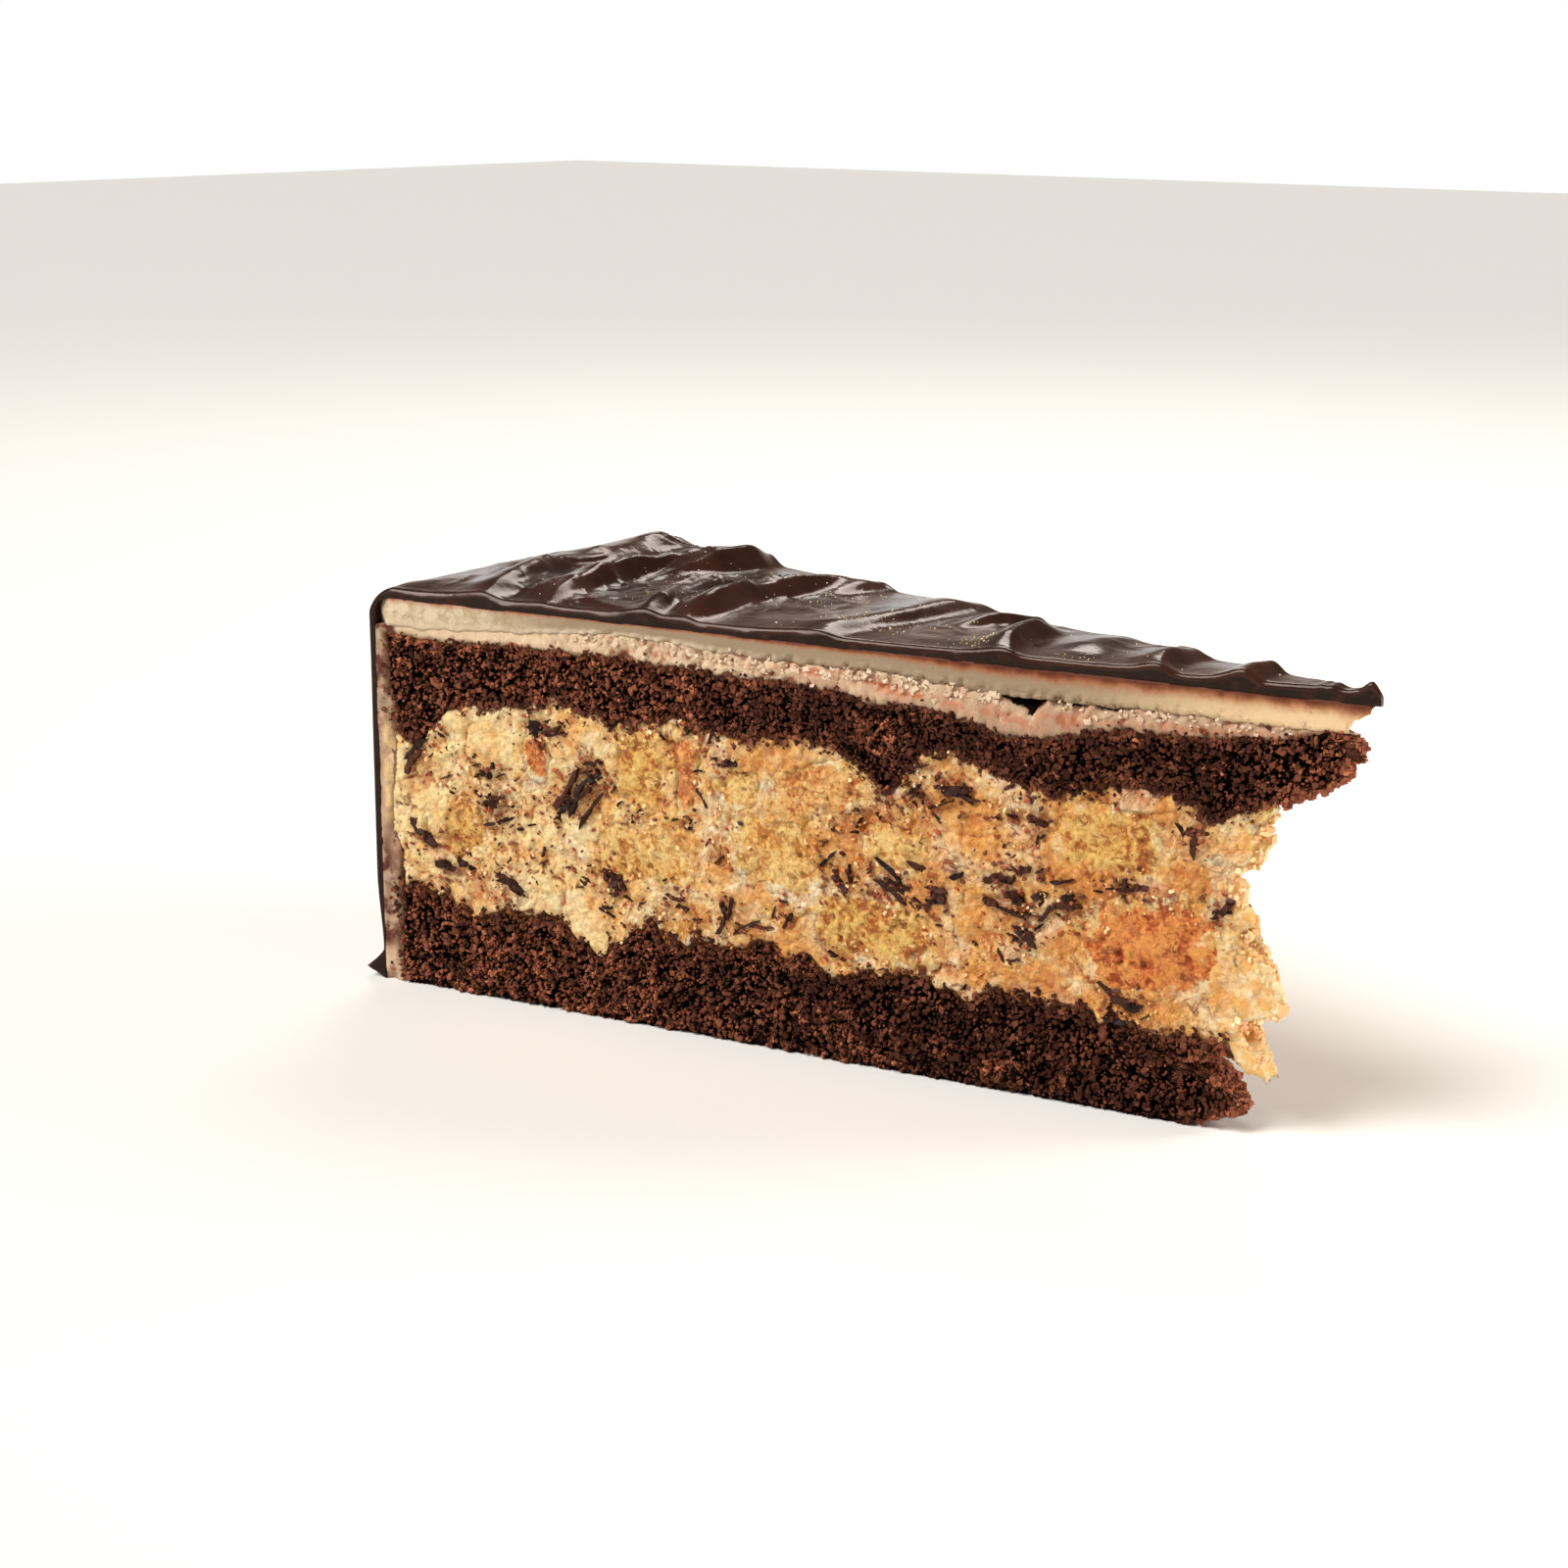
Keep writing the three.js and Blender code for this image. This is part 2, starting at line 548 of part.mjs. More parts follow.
const slice = new THREE.Group();
slice.add(mesh("icing", geometryOf(icing()), "icing"));
slice.add(mesh("marzipan", marzipan(), "marzipan"));
slice.add(mesh("cream_coat", geometryOf(cream()), "cream"));
slice.add(mesh("sponge_upper", spongeUpper(), "sponge"));
slice.add(mesh("filling", geometryOf(filling()), "filling"));
slice.add(mesh("sponge_lower", spongeLower(), "sponge"));
const counts = { "-1": 0, 1: 0 };
for (const chunk of CHUNKS) {
  const number = ++counts[chunk.side];
  const cut = chunk.side < 0 ? "front" : "back";
  slice.add(mesh(`chunk_${cut}_${number}`, chunkGeometry(chunk, 0), chunk.kind));
}

export default slice;
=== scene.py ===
"""A slice of chocolate and orange layer cake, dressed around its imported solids.

The slice is a sixteenth of a round cake with its point torn off. From the top down it has dark
chocolate icing in waves, marzipan, pink cream, chocolate sponge, orange cream set with chunks of
golden sponge and shavings of chocolate, and a second chocolate sponge.

Lengths in the classes are millimetres, and become metres when a mesh is written. A place in the
slice is given by d, the distance from the cake's centre, by turn, from -1 on the front cut to 1 on
the back cut, and by z.
"""

from __future__ import annotations

import logging
import math
from dataclasses import dataclass, field
from enum import Enum
from functools import cache
from typing import Callable, Optional, Sequence

import bmesh
import bpy
import numpy as np
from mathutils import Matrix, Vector

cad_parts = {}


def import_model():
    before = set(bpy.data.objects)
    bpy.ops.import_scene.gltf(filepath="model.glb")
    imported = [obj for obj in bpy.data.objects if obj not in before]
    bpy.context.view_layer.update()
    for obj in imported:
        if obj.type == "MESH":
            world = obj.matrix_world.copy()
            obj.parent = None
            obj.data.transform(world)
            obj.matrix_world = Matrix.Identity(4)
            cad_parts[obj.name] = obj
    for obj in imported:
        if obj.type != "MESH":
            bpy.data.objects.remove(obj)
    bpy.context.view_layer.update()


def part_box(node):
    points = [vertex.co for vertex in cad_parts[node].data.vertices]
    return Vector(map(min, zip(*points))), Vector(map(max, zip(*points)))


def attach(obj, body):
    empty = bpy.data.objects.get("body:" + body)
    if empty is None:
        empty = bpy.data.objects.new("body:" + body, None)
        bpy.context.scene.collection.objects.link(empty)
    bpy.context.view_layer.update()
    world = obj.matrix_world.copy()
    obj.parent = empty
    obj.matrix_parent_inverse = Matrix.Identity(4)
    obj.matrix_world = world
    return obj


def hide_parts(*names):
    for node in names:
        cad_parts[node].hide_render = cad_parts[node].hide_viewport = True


LOG = logging.getLogger("cake_slice")
MM = 0.001
BODY = "root"
# a corner whose turn or level is past EDGE lies on a cut or an outer face, and one below BASE on the base
EDGE = 0.999
BASE = 0.01
Colour = tuple[float, float, float, float]
Pair = tuple[float, float]
Triple = tuple[float, float, float]
Humps = Sequence[Triple]
Array = np.ndarray
Height = Callable[[Array, Array], Array]
Socket = bpy.types.NodeSocket
Mesh = bpy.types.Mesh


class Cut(Enum):
    """The two cut faces of the slice, by their turn."""

    FRONT = -1
    BACK = 1

    def turns(self, shape: object) -> Array:
        """The cut's turn, once for each place of an array of a shape."""
        return np.full(shape, float(self.value))


def tint(red: float, green: float, blue: float) -> Colour:
    """A colour as a shader takes it.

    Args:
        red: The colour's red on a screen, from 0 to 255.
        green: Its green.
        blue: Its blue.

    Returns:
        The linear colour, opaque.
    """
    shares = [channel / 255 for channel in (red, green, blue)]
    linear = [s / 12.92 if s <= 0.04045 else ((s + 0.055) / 1.055) ** 2.4 for s in shares]
    return (linear[0], linear[1], linear[2], 1.0)


def eased(values: Array, start: float, end: float) -> Array:
    """Values eased from 0 at start to 1 at end, which is above or below start."""
    share = np.clip((np.asarray(values, float) - start) / (end - start), 0, 1)
    return share * share * (3 - 2 * share)


def mixed(low: Array, high: Array, share: Array) -> Array:
    """The values between low and high at a share of the way."""
    return low + (high - low) * share


def humps(d: Array, rows: Humps) -> Array:
    """The sum of rounded humps along d, each given as its middle, its rise and its width."""
    return sum(rise * np.exp(-(((d - at) / width) ** 2)) for at, rise, width in rows)


def turned(x: Array, up: Array, degrees: Array) -> tuple[Array, Array]:
    """Offsets in a plane, turned about their middle."""
    cos, sin = np.cos(np.radians(degrees)), np.sin(np.radians(degrees))
    return x * cos - up * sin, x * sin + up * cos


def on_cut(turn: Array) -> Array:
    """Whether each turn is that of a cut."""
    return np.abs(turn) > EDGE


class Grain:
    """Seeded noise over space, which gives the same relief each run."""

    DRAWS = 8192
    STRIDES = (73856093, 19349663, 83492791)
    MIXER = 668265263
    FOLDS = (7, 15)

    def __init__(self, seed: int) -> None:
        """Draws the table that the noise is read from."""
        self.table = np.random.default_rng(seed).random((self.DRAWS, 4))

    def draws(self, cell: Array) -> Array:
        """Draws that are always the same for a cell of a lattice.

        Args:
            cell: The cells, three whole numbers in each row.

        Returns:
            Four draws from 0 to 1 for each cell.
        """
        steps = cell * np.array(self.STRIDES)
        mix = steps[:, 0] ^ steps[:, 1] ^ steps[:, 2]
        mix = (mix ^ (mix >> self.FOLDS[0])) * self.MIXER
        return self.table[(mix ^ (mix >> self.FOLDS[1])) % self.DRAWS]

    def smooth(self, points: Array, size: float) -> Array:
        """Soft noise.

        Args:
            points: Places, one row each.
            size: The width of its swells.

        Returns:
            Values from -1 to 1.
        """
        scaled = points / size
        low = np.floor(scaled).astype(np.int64)
        part = scaled - low
        part = part * part * (3 - 2 * part)
        total = np.zeros(len(points))
        for corner in np.ndindex(2, 2, 2):
            share = np.prod(np.where(np.array(corner) == 1, part, 1 - part), axis=1)
            total += share * self.draws(low + np.array(corner))[:, 0]
        return 2 * total - 1

    def cells(self, points: Array, size: float) -> tuple[Array, Array, Array]:
        """Distances to points scattered one to a cell.

        Args:
            points: Places, one row each.
            size: The width of a cell.

        Returns:
            The distance to the nearest scattered point and to the next, in cells, and the nearest's draw.
        """
        scaled = points / size
        low = np.floor(scaled).astype(np.int64)
        first = np.full(len(points), 9.0)
        second = np.full(len(points), 9.0)
        own = np.zeros(len(points))
        for step in np.ndindex(3, 3, 3):
            cell = low + np.array(step) - 1
            drawn = self.draws(cell)
            away = np.linalg.norm(cell + drawn[:, :3] - scaled, axis=1)
            nearer = away < first
            second = np.where(nearer, first, np.minimum(second, away))
            own = np.where(nearer, drawn[:, 3], own)
            first = np.where(nearer, away, first)
        return first, second, own

    def crumb(self, points: Array, size: float, uneven: float, gap: float) -> Array:
        """Height of angular grains of a size, which differ by uneven and have gaps of a depth between."""
        near, other, own = self.cells(points, size)
        return uneven * (own - 0.5) - gap * eased(other - near, 0.3, 0.0)


@dataclass(frozen=True)
class Crest:
    """One crest of the icing, with a long slope towards the rim and a steep one towards the point."""

    at: float
    slant: float
    rise: float
    start: float
    end: float
    slope: float
    steep: float
    fade: float = 0.35
    tail: float = 1.3

    def height(self, d: Array, turn: Array, wander: Array) -> Array:
        """The crest's height, rounded along its top.

        Args:
            d: Distances from the cake's centre.
            turn: Turns between the cuts.
            wander: How far the crest's line strays at each place.

        Returns:
            Its height at each place.
        """
        away = d - (self.at + self.slant * turn / 2 + wander)
        begun = eased(turn, self.start - self.fade, self.start + self.fade)
        across = begun * eased(turn, self.end + self.fade, self.end - self.fade)
        behind = (1 + (np.maximum(away, 0) / self.slope) ** 2) ** -self.tail
        before = np.exp(-((np.minimum(away, 0) / self.steep) ** 2))
        return self.rise * across * behind * before


CRESTS = (
    Crest(119, 10, 2.0, -1.3, 1.3, 6.5, 3.2),
    Crest(105.5, 2, 2.3, -0.95, 0.35, 4.5, 2.0),
    Crest(100, 8, 2.9, 0.15, 1.4, 8.0, 2.2),
    Crest(92.5, 1, 2.1, -1.3, 0.1, 3.2, 2.4),
    Crest(84.5, -2.5, 2.6, -0.9, 0.75, 4.6, 2.0),
    Crest(79.5, 2, 2.0, 0.5, 1.4, 4.0, 1.8),
    Crest(66, -6, 1.5, -1.4, 1.3, 7.0, 3.0),
    Crest(54.5, -4, 1.5, 0.1, 1.4, 3.0, 1.3),
    Crest(45.5, 1.5, 2.2, -1.4, 0.55, 3.6, 2.2),
    Crest(36, 2, 1.1, -0.4, 1.4, 4.5, 3.0),
    Crest(27, 0.5, 1.9, -1.4, 1.4, 3.2, 1.9),
    Crest(17.6, 0, 1.6, -1.4, 1.4, 2.8, 1.8),
    Crest(2.6, 0, 1.2, -1.4, 1.4, 1.3, 1.1),
)


@dataclass(frozen=True)
class Swells:
    """Swells and dips of a surface between layers, as (d, rise, width), on the front and the back cut."""

    level: float
    front: Humps
    back: Humps

    def height(self, d: Array, turn: Array) -> Array:
        """The surface's height: the front cut's swells run over into the back cut's through the food."""
        return self.level + mixed(humps(d, self.front), humps(d, self.back), eased(turn, -1, 1))


SPONGE_TOP = Swells(
    level=45.1,
    front=(
        (120, -0.3, 6), (79, -0.8, 9), (60, -1.6, 9), (42, -3.8, 9.5), (25, -1.6, 7.5), (15, -0.6, 6),
        (4, 1.0, 4),
    ),
    back=((95, -1.2, 8), (58, -2.2, 10), (30, -0.8, 6), (4, 1.3, 4)),
)
FILLING_TOP = Swells(
    level=37.9,
    front=(
        (125, -6.2, 4.5), (104, 1.4, 5), (88, 0.9, 5), (58.5, -4.2, 3.2), (50, 1.7, 3.5), (37, -1.6, 5),
        (19, -2.2, 3.6), (9, -1.5, 5),
    ),
    back=(
        (125, -4.0, 5), (110, 1.2, 5), (93, -3.2, 4), (76, 1.0, 6), (52, -2.6, 4), (34, 0.8, 5),
        (19, -2.0, 3.6),
    ),
)
FILLING_FLOOR = Swells(
    level=10.9,
    front=((126, 1.6, 6), (97, -2.8, 3.2), (90, 1.9, 2.2), (74, 0.9, 5), (24, -1.2, 3), (9, -6.0, 6)),
    back=((126, 1.0, 6), (104, 1.8, 4), (82, -1.8, 4), (60, 1.6, 4), (40, -1.4, 5), (9, -5.0, 6)),
)
THINNED = ((92, 0.9, 10),)
CREAM_HOLLOWS = ((42.8, 0.75, 1.3), (40.4, 1.15, 1.1))


@dataclass(frozen=True)
class SliceForm:
    """The sizes that all layers share, and the surfaces between them."""

    centre_x: float
    half_angle: float = math.radians(11.25)
    cake_radius: float = 130.8
    icing_side: float = 0.9
    icing_thickness: float = 1.0
    shoulder: float = 3.3
    icing_tip: float = 1.2
    foot_reach: float = 2.2
    foot_height: float = 3.9
    lip_height: float = 1.2
    cream_side: float = 1.7
    marzipan_top: float = 49.5
    marzipan_floor_level: float = 47.2
    point_zone: float = 32.0
    strewn_from: float = 15.5
    edge_bend: float = 0.6
    grain: Grain = field(default_factory=lambda: Grain(3))

    @property
    def cream_radius(self) -> float:
        """The radius of the cream down the rim, inside the icing."""
        return self.cake_radius - self.icing_side

    @property
    def core_radius(self) -> float:
        """The radius of the sponges and the filling."""
        return self.cream_radius - self.cream_side

    def place(self, d: Array, turn: Array, z: Array, out: Array = 0.0) -> Array:
        """Places in the slice.

        Args:
            d: Distances from the cake's centre.
            turn: Turns between the cuts.
            z: Heights.
            out: How far each place is moved straight out of its cut face.

        Returns:
            The places in millimetres, one row each.
        """
        angle = turn * self.half_angle
        x = self.centre_x - d * np.cos(angle) + out * math.sin(self.half_angle)
        y = d * np.sin(angle) + np.sign(turn) * out * math.cos(self.half_angle)
        return np.stack(np.broadcast_arrays(x, y, z), axis=-1)

    def ripple(self, d: Array, turn: Array, size: float, level: float) -> Array:
        """Soft noise over the plan of the slice, one pattern for each level."""
        return self.grain.smooth(self.place(d, turn, np.full(np.shape(d), level)), size)

    def ripples(self, d: Array, turn: Array, *parts: Triple) -> Array:
        """A sum of ripples, each given as its height, its size and its level."""
        return sum(height * self.ripple(d, turn, size, level) for height, size, level in parts)

    def sponge_top(self, d: Array, turn: Array) -> Array:
        """Where the upper sponge meets the cream."""
        return SPONGE_TOP.height(d, turn) + self.ripples(d, turn, (0.25, 4, 100), (0.16, 1.2, 130))

    def mingled(self, d: Array, turn: Array, level: float) -> Array:
        """How crumb and cream run into each other along a surface between them."""
        return self.ripples(d, turn, (0.8, 3.4, level), (0.7, 1.5, level + 30), (0.5, 0.75, level + 60))

    def filling_top(self, d: Array, turn: Array) -> Array:
        """Where the filling meets the upper sponge."""
        return FILLING_TOP.height(d, turn) + self.mingled(d, turn, 200)

    def filling_floor(self, d: Array, turn: Array) -> Array:
        """Where the filling meets the lower sponge."""
        return FILLING_FLOOR.height(d, turn) + self.mingled(d, turn, 300)

    def marzipan_floor(self, d: Array, turn: Array) -> Array:
        """Where the marzipan meets the cream: it is thinner in one stretch and thicker towards both ends."""
        added = 1.1 * eased(d, 100, 126) + 0.9 * eased(d, 58, 46) + 0.2 * eased(d, 22, 12) - humps(d, THINNED)
        return self.marzipan_floor_level - added + self.ripples(d, turn, (0.15, 3, 400), (0.16, 1.0, 430))

    def rim_wander(self, d: Array, turn: Array, z: Array) -> Array:
        """How far the cream at the rim reaches over the layers beside it at each place on a cut."""
        return 1.7 * self.grain.smooth(np.stack([d, z * 0.8, turn * 3 + 90], axis=-1), 2.4)

    def cream_top(self, d: Array, turn: Array) -> Array:
        """Top of the cream, which has sunk away from the marzipan in a short hollow at each cut.

        Args:
            d: Distances from the cake's centre.
            turn: Turns between the cuts.

        Returns:
            Its height at each place.
        """
        at_cut = eased(np.abs(turn), 0.3, 0.9)
        hollow = humps(d, CREAM_HOLLOWS) + 0.2 * eased(d, 39, 37) * eased(d, 25, 33)
        uneven = 0.9 + 0.9 * self.ripple(d, turn, 0.9, 460)
        return self.marzipan_floor(d, turn) - at_cut * hollow * uneven

    def waves(self, d: Array, turn: Array) -> Array:
        """The icing's crests, with the folds that the knife left.

        Args:
            d: Distances from the cake's centre.
            turn: Turns between the cuts.

        Returns:
            Their height above the icing's thin parts.
        """
        height = 0.35 * (1 + self.ripple(d, turn, 8, 500))
        wander = self.ripples(d, turn, (2.2, 13, 520), (0.35, 5, 540))
        for number, crest in enumerate(CRESTS):
            uneven = 1 + 0.3 * self.ripple(d, turn, 10, 600 + 10 * number)
            height = np.hypot(height, uneven * crest.height(d, turn, wander))
        y = d * np.sin(turn * self.half_angle)
        drift = 1.6 * self.ripple(d, turn, 9, 560)
        fold = 1 - np.abs(self.grain.smooth(np.stack([d + drift, y * 0.42, d * 0 + 50], axis=-1), 4.6))
        folded = eased(self.ripple(d, turn, 12, 620), -0.25, 0.45)
        small = 1 - np.abs(self.grain.smooth(np.stack([d * 0.8 + drift, y * 0.7, d * 0 + 90], axis=-1), 2.6))
        return height + 0.55 * folded * fold**4 + 0.32 * folded * small**5

    def icing_top(self, d: Array, turn: Array) -> Array:
        """Top of the icing, whose crests run out at both cuts.

        Args:
            d: Distances from the cake's centre.
            turn: Turns between the cuts.

        Returns:
            Its height at each place, before it rounds down into the rim.
        """
        fade = eased(d, self.cake_radius, 125) * eased(d, 0.2, 1.6)
        to_cut = (1 - np.abs(turn)) * d * math.sin(self.half_angle)
        runout = 1 - 0.5 * eased(d, 8, 30) * eased(to_cut, 5, 0)
        depth = self.icing_thickness + self.waves(d, turn) * fade * runout
        bend = np.minimum(self.edge_bend, depth * 0.6)
        inward = np.clip(bend - to_cut, 0, bend)
        return self.marzipan_top + depth - bend + np.sqrt(bend**2 - inward**2)

    def icing_side_at(self, z: Array, turn: Array) -> Array:
        """The icing's side, which leans in near its base and ends in a thin lip.

        Args:
            z: Heights.
            turn: Turns between the cuts.

        Returns:
            The side's distance from the cake's centre at each place.
        """
        lean = 0.6 * eased(z, 14, self.foot_height)
        uneven = 0.55 + 0.45 * np.cos(turn * math.pi * 2)
        reach = self.foot_reach * uneven + lean
        span = np.where(z > self.lip_height, self.foot_height - self.lip_height, self.lip_height)
        lip = reach * np.maximum(0, 1 - np.abs(z - self.lip_height) / span) ** 1.3
        return self.cake_radius - lean + lip


def divided_block(along: int, across: int, up: int) -> Mesh:
    """A closed block of squares from 0 to 1 each way.

    Args:
        along: Squares along X.
        across: Squares along Y.
        up: Squares along Z.

    Returns:
        The block's mesh.
    """
    block = bmesh.new()
    bmesh.ops.create_grid(block, x_segments=along, y_segments=up, size=0.5)
    lifted = bmesh.ops.extrude_face_region(block, geom=block.faces[:])["geom"]
    verts = [item for item in lifted if isinstance(item, bmesh.types.BMVert)]
    bmesh.ops.translate(block, verts=verts, vec=(0, 0, 1))
    rungs = [edge for edge in block.edges if abs(edge.verts[0].co.z - edge.verts[1].co.z) > 0.5]
    if across > 1:
        bmesh.ops.subdivide_edges(block, edges=rungs, cuts=across - 1, use_grid_fill=True)
    mesh = bpy.data.meshes.new("block")
    block.to_mesh(mesh)
    block.free()
    flat_x, flat_y, lift = shares(mesh)
    write_corners(mesh, np.stack([flat_x + 0.5, lift, flat_y + 0.5], axis=1) / MM)
    return mesh


def shares(mesh: Mesh) -> Array:
    """A divided block's corners as shares of its length, its width and its height, one row each way."""
    return corners(mesh).T * MM


def read(mesh: Mesh, name: str) -> Array:
    """Reads a vector of each corner of a mesh.

    Args:
        mesh: The mesh.
        name: What the mesh calls the vector.

    Returns:
        The vectors, one row each.
    """
    found = np.zeros(len(mesh.vertices) * 3)
    mesh.vertices.foreach_get(name, found)
    return found.reshape(-1, 3)


def corners(mesh: Mesh) -> Array:
    """A mesh's corners in millimetres, one row each."""
    return read(mesh, "co") / MM


def write_corners(mesh: Mesh, points: Array) -> None:
    """Moves a mesh's corners to places in millimetres."""
    mesh.vertices.foreach_set("co", (points * MM).astype(np.float32).ravel())
    mesh.update()


def face_outwards(mesh: Mesh, smooth: bool = True) -> None:
    """Turns the faces of a closed mesh outwards.

    Args:
        mesh: The mesh.
        smooth: Whether its faces are shaded smooth or flat.
    """
    shell = bmesh.new()
    shell.from_mesh(mesh)
    bmesh.ops.recalc_face_normals(shell, faces=shell.faces[:])
    if shell.calc_volume(signed=True) < 0:
        bmesh.ops.reverse_faces(shell, faces=shell.faces[:])
    for face in shell.faces:
        face.smooth = smooth
    shell.to_mesh(mesh)
    shell.free()


def stamp(mesh: Mesh, name: str, values: Array) -> None:
    """Keeps a number for each corner of a mesh under a name that its material reads."""
    layer = mesh.attributes.new(name, "FLOAT", "POINT")
    layer.data.foreach_set("value", np.asarray(values, np.float32))


def roughen(mesh: Mesh, relief: Array, turn: Optional[Array] = None, half_angle: float = 0) -> None:
    """Moves corners out of the surface by a relief.

    Args:
        mesh: The mesh.
        relief: How far each corner moves, in millimetres.
        turn: Each corner's turn: those on a cut move straight out of it, so that layers stay edge to edge.
        half_angle: Half the slice's angle, where turns are given.
    """
    ways = read(mesh, "normal")
    if turn is not None:
        straight = np.array([math.sin(half_angle), 1.0, 0.0]) * np.array([1.0, math.cos(half_angle), 1.0])
        signs = np.stack([np.ones(len(turn)), np.sign(turn), np.ones(len(turn))], axis=1)
        ways = np.where(on_cut(turn)[:, None], straight * signs, ways)
    moved = corners(mesh) + ways * relief[:, None]
    moved[:, 2] = np.maximum(moved[:, 2], 0)
    write_corners(mesh, moved)


class Nodes:
    """Nodes laid step by step in a tree; each step gives the socket that the next one takes."""

    def __init__(self, tree: bpy.types.NodeTree) -> None:
        """Takes the tree that the nodes are laid in."""
        self.tree = tree

    def feed(self, socket: Socket, value: object) -> None:
        """Feeds a socket.

        Args:
            socket: The socket.
            value: Another socket, which is linked to it, or its value.
        """
        if isinstance(value, Socket):
            self.tree.links.new(value, socket)
        else:
            socket.default_value = value

    def lay(self, kind: str, output: object, feeds: dict, **values: object) -> Socket:
        """Lays a node.

        Args:
            kind: Its kind.
            output: The name or the number of the socket that it gives.
            feeds: What its sockets are fed, by their names or numbers.
            **values: Its properties.

        Returns:
            The socket that it gives.
        """
        node = self.tree.nodes.new(kind)
        for name, value in values.items():
            setattr(node, name, value)
        for name, value in feeds.items():
            self.feed(node.inputs[name], value)
        return node.outputs[output]

    def sum(self, kind: str, first: object, second: object) -> Socket:
        """Two values joined by a kind of sum, such as SUBTRACT or MAXIMUM."""
        return self.lay("ShaderNodeMath", 0, {0: first, 1: second}, operation=kind)

    def plus(self, first: object, second: object) -> Socket:
        """Two values added."""
        return self.sum("ADD", first, second)

    def times(self, first: object, second: object) -> Socket:
        """Two values multiplied."""
        return self.sum("MULTIPLY", first, second)

    def off_middle(self, value: object) -> Socket:
        """How far a value from 0 to 1 lies from 0.5, which is 0 along thin winding lines of a noise."""
        return self.sum("ABSOLUTE", self.sum("SUBTRACT", value, 0.5), 0.0)

    def span(self, value: object, start: float, end: float, low: float = 0.0, high: float = 1.0,
             rise: str = "SMOOTHSTEP") -> Socket:
        """A value taken from the span start to end onto low to high, by a kind of rise."""
        feeds = {"Value": value, "From Min": start, "From Max": end, "To Min": low, "To Max": high}
        return self.lay("ShaderNodeMapRange", "Result", feeds, interpolation_type=rise)

    def blend(self, share: object, first: object, second: object) -> Socket:
        """One colour blended into another by a share."""
        return self.lay("ShaderNodeMix", 2, {0: share, 6: first, 7: second}, data_type="RGBA")

    def ramp(self, value: object, stops: Sequence[tuple[float, Colour]]) -> Socket:
        """A colour read from stops.

        Args:
            value: Where it is read.
            stops: The place and the colour of each stop.

        Returns:
            The colour.
        """
        colour = self.lay("ShaderNodeValToRGB", "Color", {"Fac": value})
        band = colour.node.color_ramp
        while len(band.elements) < len(stops):
            band.elements.new(1.0)
        for element, (at, shade) in zip(band.elements, stops):
            element.position = at
            element.color = shade
        return colour


